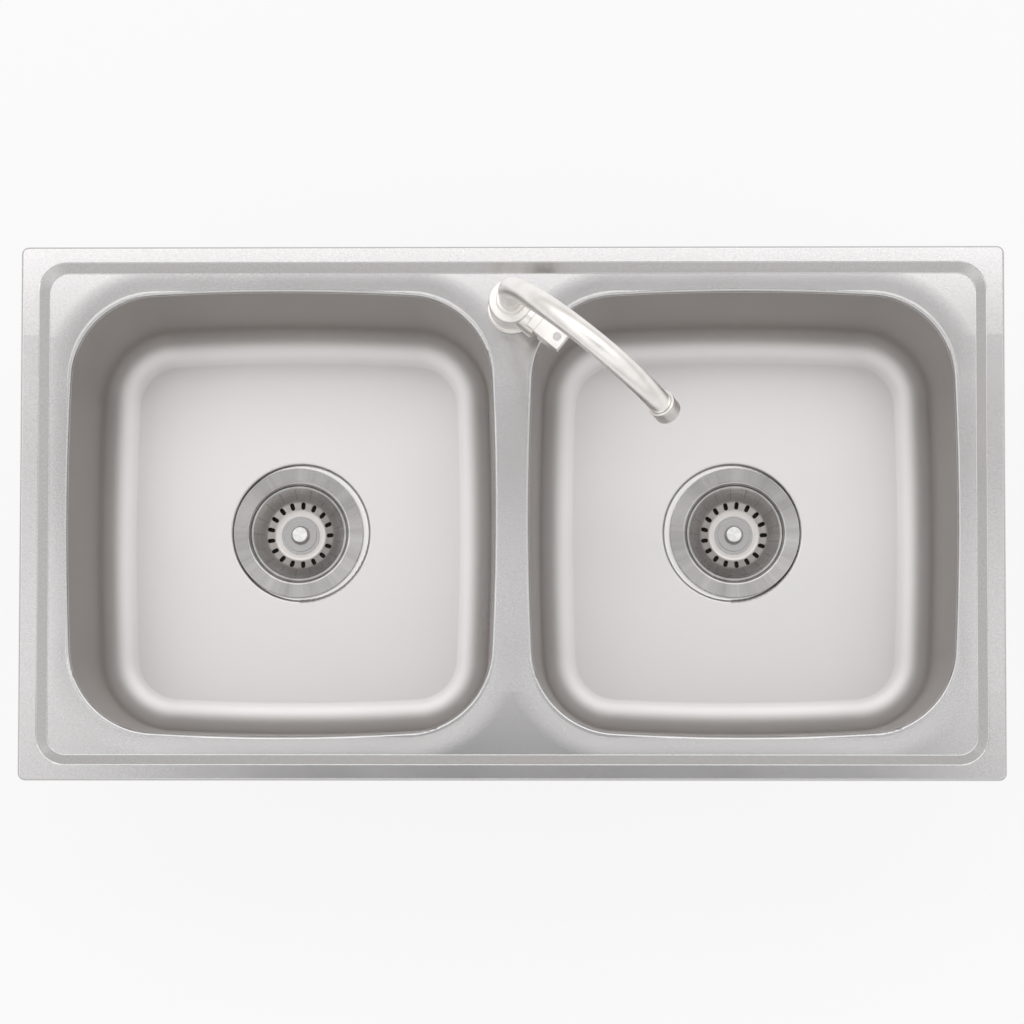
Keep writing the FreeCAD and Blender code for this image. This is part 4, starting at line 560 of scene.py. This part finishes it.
def plain_finish(name, base, rough, patch, relief, metallic):
    """Plating, rubber, plastic or foam: an even colour with a fine surface."""
    finish = Finish(name, base, rough, metallic=metallic)
    patches = finish.vary_roughness(patch, strength=0.12)
    finish.vary_colour(patches, base, dark=0.9, light=1.08)
    speck = patch / SPECKS_PER_PATCH
    finish.bump(finish.place("grain", Line_length=speck, Line_width=speck)["Grain"], relief)
    return finish.material


def dress(material, *names):
    """Gives CAD nodes their material."""
    for name in names:
        piece = frame["nodes"][name]
        if piece.material_slots:
            for entry in piece.material_slots:
                entry.link = "DATA"
                entry.material = material
        else:
            piece.data.materials.append(material)


# --- steps that finish the pieces ---------------------------------------------------------


class SINK_OT_sheet_metal(bpy.types.Operator):
    """Gives the pressed rim, deck and bowls their satin steel"""

    bl_idname = "sink.sheet_metal"
    bl_label = "Sheet metal"

    def execute(self, context):
        steel = context.scene.sink_steel
        for side in SIDES:
            deck = pressed_sheet(
                side + "_satin_deck", steel.sheet, steel.sheet_rough,
                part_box(side + "_bowl"), steel.deck_fall,
            )
            dress(deck, side + "_deck")
        floor_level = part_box("left_cup_seal")[1].z
        bowl = drawn_metal(
            "satin_bowl", steel.bowl, steel.painted_wall_shade, steel.bowl_rough, steel.wall_rough,
            [floor_level + rise for rise in BOWL_BEND],
        )
        dress(bowl, "left_bowl", "right_bowl")
        return {"FINISHED"}


class SINK_OT_strainers(bpy.types.Operator):
    """Gives the strainer cups, baskets and knobs their polished steel"""

    bl_idname = "sink.strainers"
    bl_label = "Strainers"

    def execute(self, context):
        steel = context.scene.sink_steel
        polished = (steel.strainer, steel.strainer_rough)
        for side in SIDES:
            low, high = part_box(side + "_strainer_cup")
            centre = (low.x + high.x) / 2
            basket_low, basket_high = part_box(side + "_basket")
            # Painted shade: a cup's colour turns nearly black below the basket's rim.
            cup = turned_metal(
                side + "_cup_steel", centre, polished, (steel.cup_inside_shade, steel.cup_inside_rough),
                [basket_high.z + rise for rise in CUP_EDGE],
            )
            basket = turned_metal(
                side + "_basket_steel", centre, polished, (steel.basket, steel.basket_rough),
                (basket_low.z + SLOPE_FOOT, basket_high.z + SLOPE_TOP), creased=True,
            )
            knob_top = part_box(side + "_basket_knob")[1].z
            # Painted highlight: the knob's top disc is much lighter than its foot.
            knob = turned_metal(
                side + "_knob_steel", centre, (steel.knob, steel.knob_rough),
                (steel.knob_foot, steel.strainer_rough),
                [knob_top + rise for rise in KNOB_EDGE], relief=POLISHED_RELIEF,
            )
            dress(cup, side + "_strainer_cup")
            dress(basket, side + "_basket")
            dress(knob, side + "_basket_knob")
        return {"FINISHED"}


class SINK_OT_tap(bpy.types.Operator):
    """Gives the tap its plating"""

    bl_idname = "sink.tap"
    bl_label = "Tap"

    def execute(self, context):
        steel = context.scene.sink_steel
        plating = plain_finish(
            "tap_plating", steel.tap, steel.tap_rough, patch=0.02, relief=POLISHED_RELIEF,
            metallic=1.0,
        )
        dress(plating, *TAP_PIECES)
        dress(plain_finish(*BUTTON_FINISH), "lever_index_button")
        return {"FINISHED"}


class SINK_OT_hidden_parts(bpy.types.Operator):
    """Gives the fixings, rubbers and plastics under the deck their materials"""

    bl_idname = "sink.hidden_parts"
    bl_label = "Hidden parts"

    def execute(self, context):
        materials = {slot: plain_finish(*values) for slot, values in SLOT_FINISHES.items()}
        for entry in frame["record"]["subparts"]:
            if entry["material_slot"] in materials:
                dress(materials[entry["material_slot"]], entry["node"])
        return {"FINISHED"}


# --- studio -------------------------------------------------------------------------------


def add_plane(name, material, size, place, turn=(0, 0, 0)):
    """A flat piece of the studio."""
    if bpy.context.object and bpy.context.object.mode != "OBJECT":
        bpy.ops.object.mode_set(mode="OBJECT")
    bpy.ops.object.select_all(action="DESELECT")
    bpy.ops.mesh.primitive_plane_add(size=size, location=place, rotation=turn)
    plane = bpy.context.object
    plane.name = name
    plane.data.materials.append(material)
    return plane


def floor_material(base):
    """A pale floor that is white to the lens and still takes the object's shadow."""
    finish = Finish("studio_floor", base, FLOOR_ROUGH)
    tree = finish.tree
    glow = tree.nodes.new("ShaderNodeEmission")
    glow.inputs["Color"].default_value = WHITE
    glow.inputs["Strength"].default_value = 1.0
    part = math_node(tree, "MULTIPLY", seen_rays(tree), FLOOR_WHITENESS)
    mix_shaders(tree, part, finish.shader, glow, "Material Output")
    return finish.material


def add_lamp(name, place, size, glow):
    """A light panel that faces down; its brightness is 1 where it looks white."""
    data = bpy.data.lights.new(name, "AREA")
    data.shape = "RECTANGLE"
    data.size, data.size_y = size
    data.energy = glow * math.pi * data.size * data.size_y
    lamp = bpy.data.objects.new(name, data)
    bpy.context.scene.collection.objects.link(lamp)
    lamp.location = place


def add_card(name, place, size, glow, turn=(0, 0, 0)):
    """A card that only reflections see; its brightness is 1 where it looks white."""
    finish = Finish(name, BLACK, rough=1.0)
    finish.shader.inputs["Emission Color"].default_value = CARD_COLOUR
    finish.shader.inputs["Emission Strength"].default_value = glow
    card = add_plane(name, finish.material, 1, place, turn)
    card.scale = (*size, 1)
    card.visible_camera = False
    card.visible_shadow = False
    card.visible_diffuse = False


def add_room(glow):
    """Upright cards on all sides of the sink."""
    for side in range(ROOM_SIDES):
        turn = side * FULL_TURN / ROOM_SIDES
        place = (ROOM_RADIUS * math.sin(turn), -ROOM_RADIUS * math.cos(turn), ROOM_CARD_MIDDLE)
        size = (2 * ROOM_RADIUS, ROOM_CARD_HEIGHT)
        add_card("room_card_%d" % side, place, size, glow, turn=(math.pi / 2, 0, turn))


def set_world(scene, strength):
    """Even light from all round, which is plain white to the lens and in reflections."""
    world = bpy.data.worlds.new("studio_world")
    scene.world = world
    world.use_nodes = True
    tree = world.node_tree
    light, white = tree.nodes["Background"], tree.nodes.new("ShaderNodeBackground")
    for node, level in ((light, strength), (white, 1.0)):
        node.inputs["Color"].default_value = WHITE
        node.inputs["Strength"].default_value = level
    mix_shaders(tree, seen_rays(tree), light, white, "World Output")


def set_camera(scene):
    """The camera of the photo: high above the sink and nearly upright."""
    data = bpy.data.cameras.new("photo_camera")
    data.lens = CAMERA_LENS
    data.sensor_width = SENSOR_WIDTH
    data.shift_x, data.shift_y = CAMERA_SHIFT
    data.clip_end = CAMERA_REACH
    camera = bpy.data.objects.new("photo_camera", data)
    scene.collection.objects.link(camera)
    camera.location = CAMERA_PLACE
    camera.rotation_euler = [math.radians(angle) for angle in CAMERA_TURN]
    scene.camera = camera


class SINK_OT_studio(bpy.types.Operator):
    """Lays the floor and sets lamps, cards, world and camera"""

    bl_idname = "sink.studio"
    bl_label = "Studio"

    def execute(self, context):
        studio = context.scene.sink_studio
        floor_level = CAD_BOX[0][2] - studio.floor_drop
        floor = add_plane(
            "studio_floor", floor_material(studio.floor), FLOOR_SIZE, (0, 0, floor_level)
        )
        for name, place, size, setting in LAMPS:
            add_lamp(name, place, size, getattr(studio, setting))
        for name, place, size, setting in CARDS:
            add_card(name, place, size, getattr(studio, setting))
        add_room(studio.room_card)
        set_world(context.scene, studio.world_light)
        set_camera(context.scene)
        context.scene.view_settings.view_transform = "Standard"
        return {"FINISHED"}


# --- panel and registration ---------------------------------------------------------------


class SINK_PT_panel(bpy.types.Panel):
    """Lists the settings and the steps that finish the sink"""

    bl_label = "Sink"
    bl_space_type = "VIEW_3D"
    bl_region_type = "UI"
    bl_category = "Sink"

    def draw(self, context):
        layout = self.layout
        for settings in (context.scene.sink_steel, context.scene.sink_studio):
            box = layout.box()
            for name in settings.bl_rna.properties.keys():
                if name not in ("rna_type", "name"):
                    box.prop(settings, name)
        for step in STEPS:
            layout.operator(step.bl_idname)


STEPS = (
    SINK_OT_sheet_metal,
    SINK_OT_strainers,
    SINK_OT_tap,
    SINK_OT_hidden_parts,
    SINK_OT_studio,
)
CLASSES = (SteelSettings, StudioSettings, *STEPS, SINK_PT_panel)


def register():
    for entry in CLASSES:
        bpy.utils.register_class(entry)
    bpy.types.Scene.sink_steel = bpy.props.PointerProperty(type=SteelSettings)
    bpy.types.Scene.sink_studio = bpy.props.PointerProperty(type=StudioSettings)


def unregister():
    del bpy.types.Scene.sink_steel
    del bpy.types.Scene.sink_studio
    for entry in reversed(CLASSES):
        bpy.utils.unregister_class(entry)


def main():
    register()
    bpy.ops.sink.sheet_metal()
    bpy.ops.sink.strainers()
    bpy.ops.sink.tap()
    bpy.ops.sink.hidden_parts()
    bpy.ops.sink.studio()


if __name__ == "__main__":
    main()
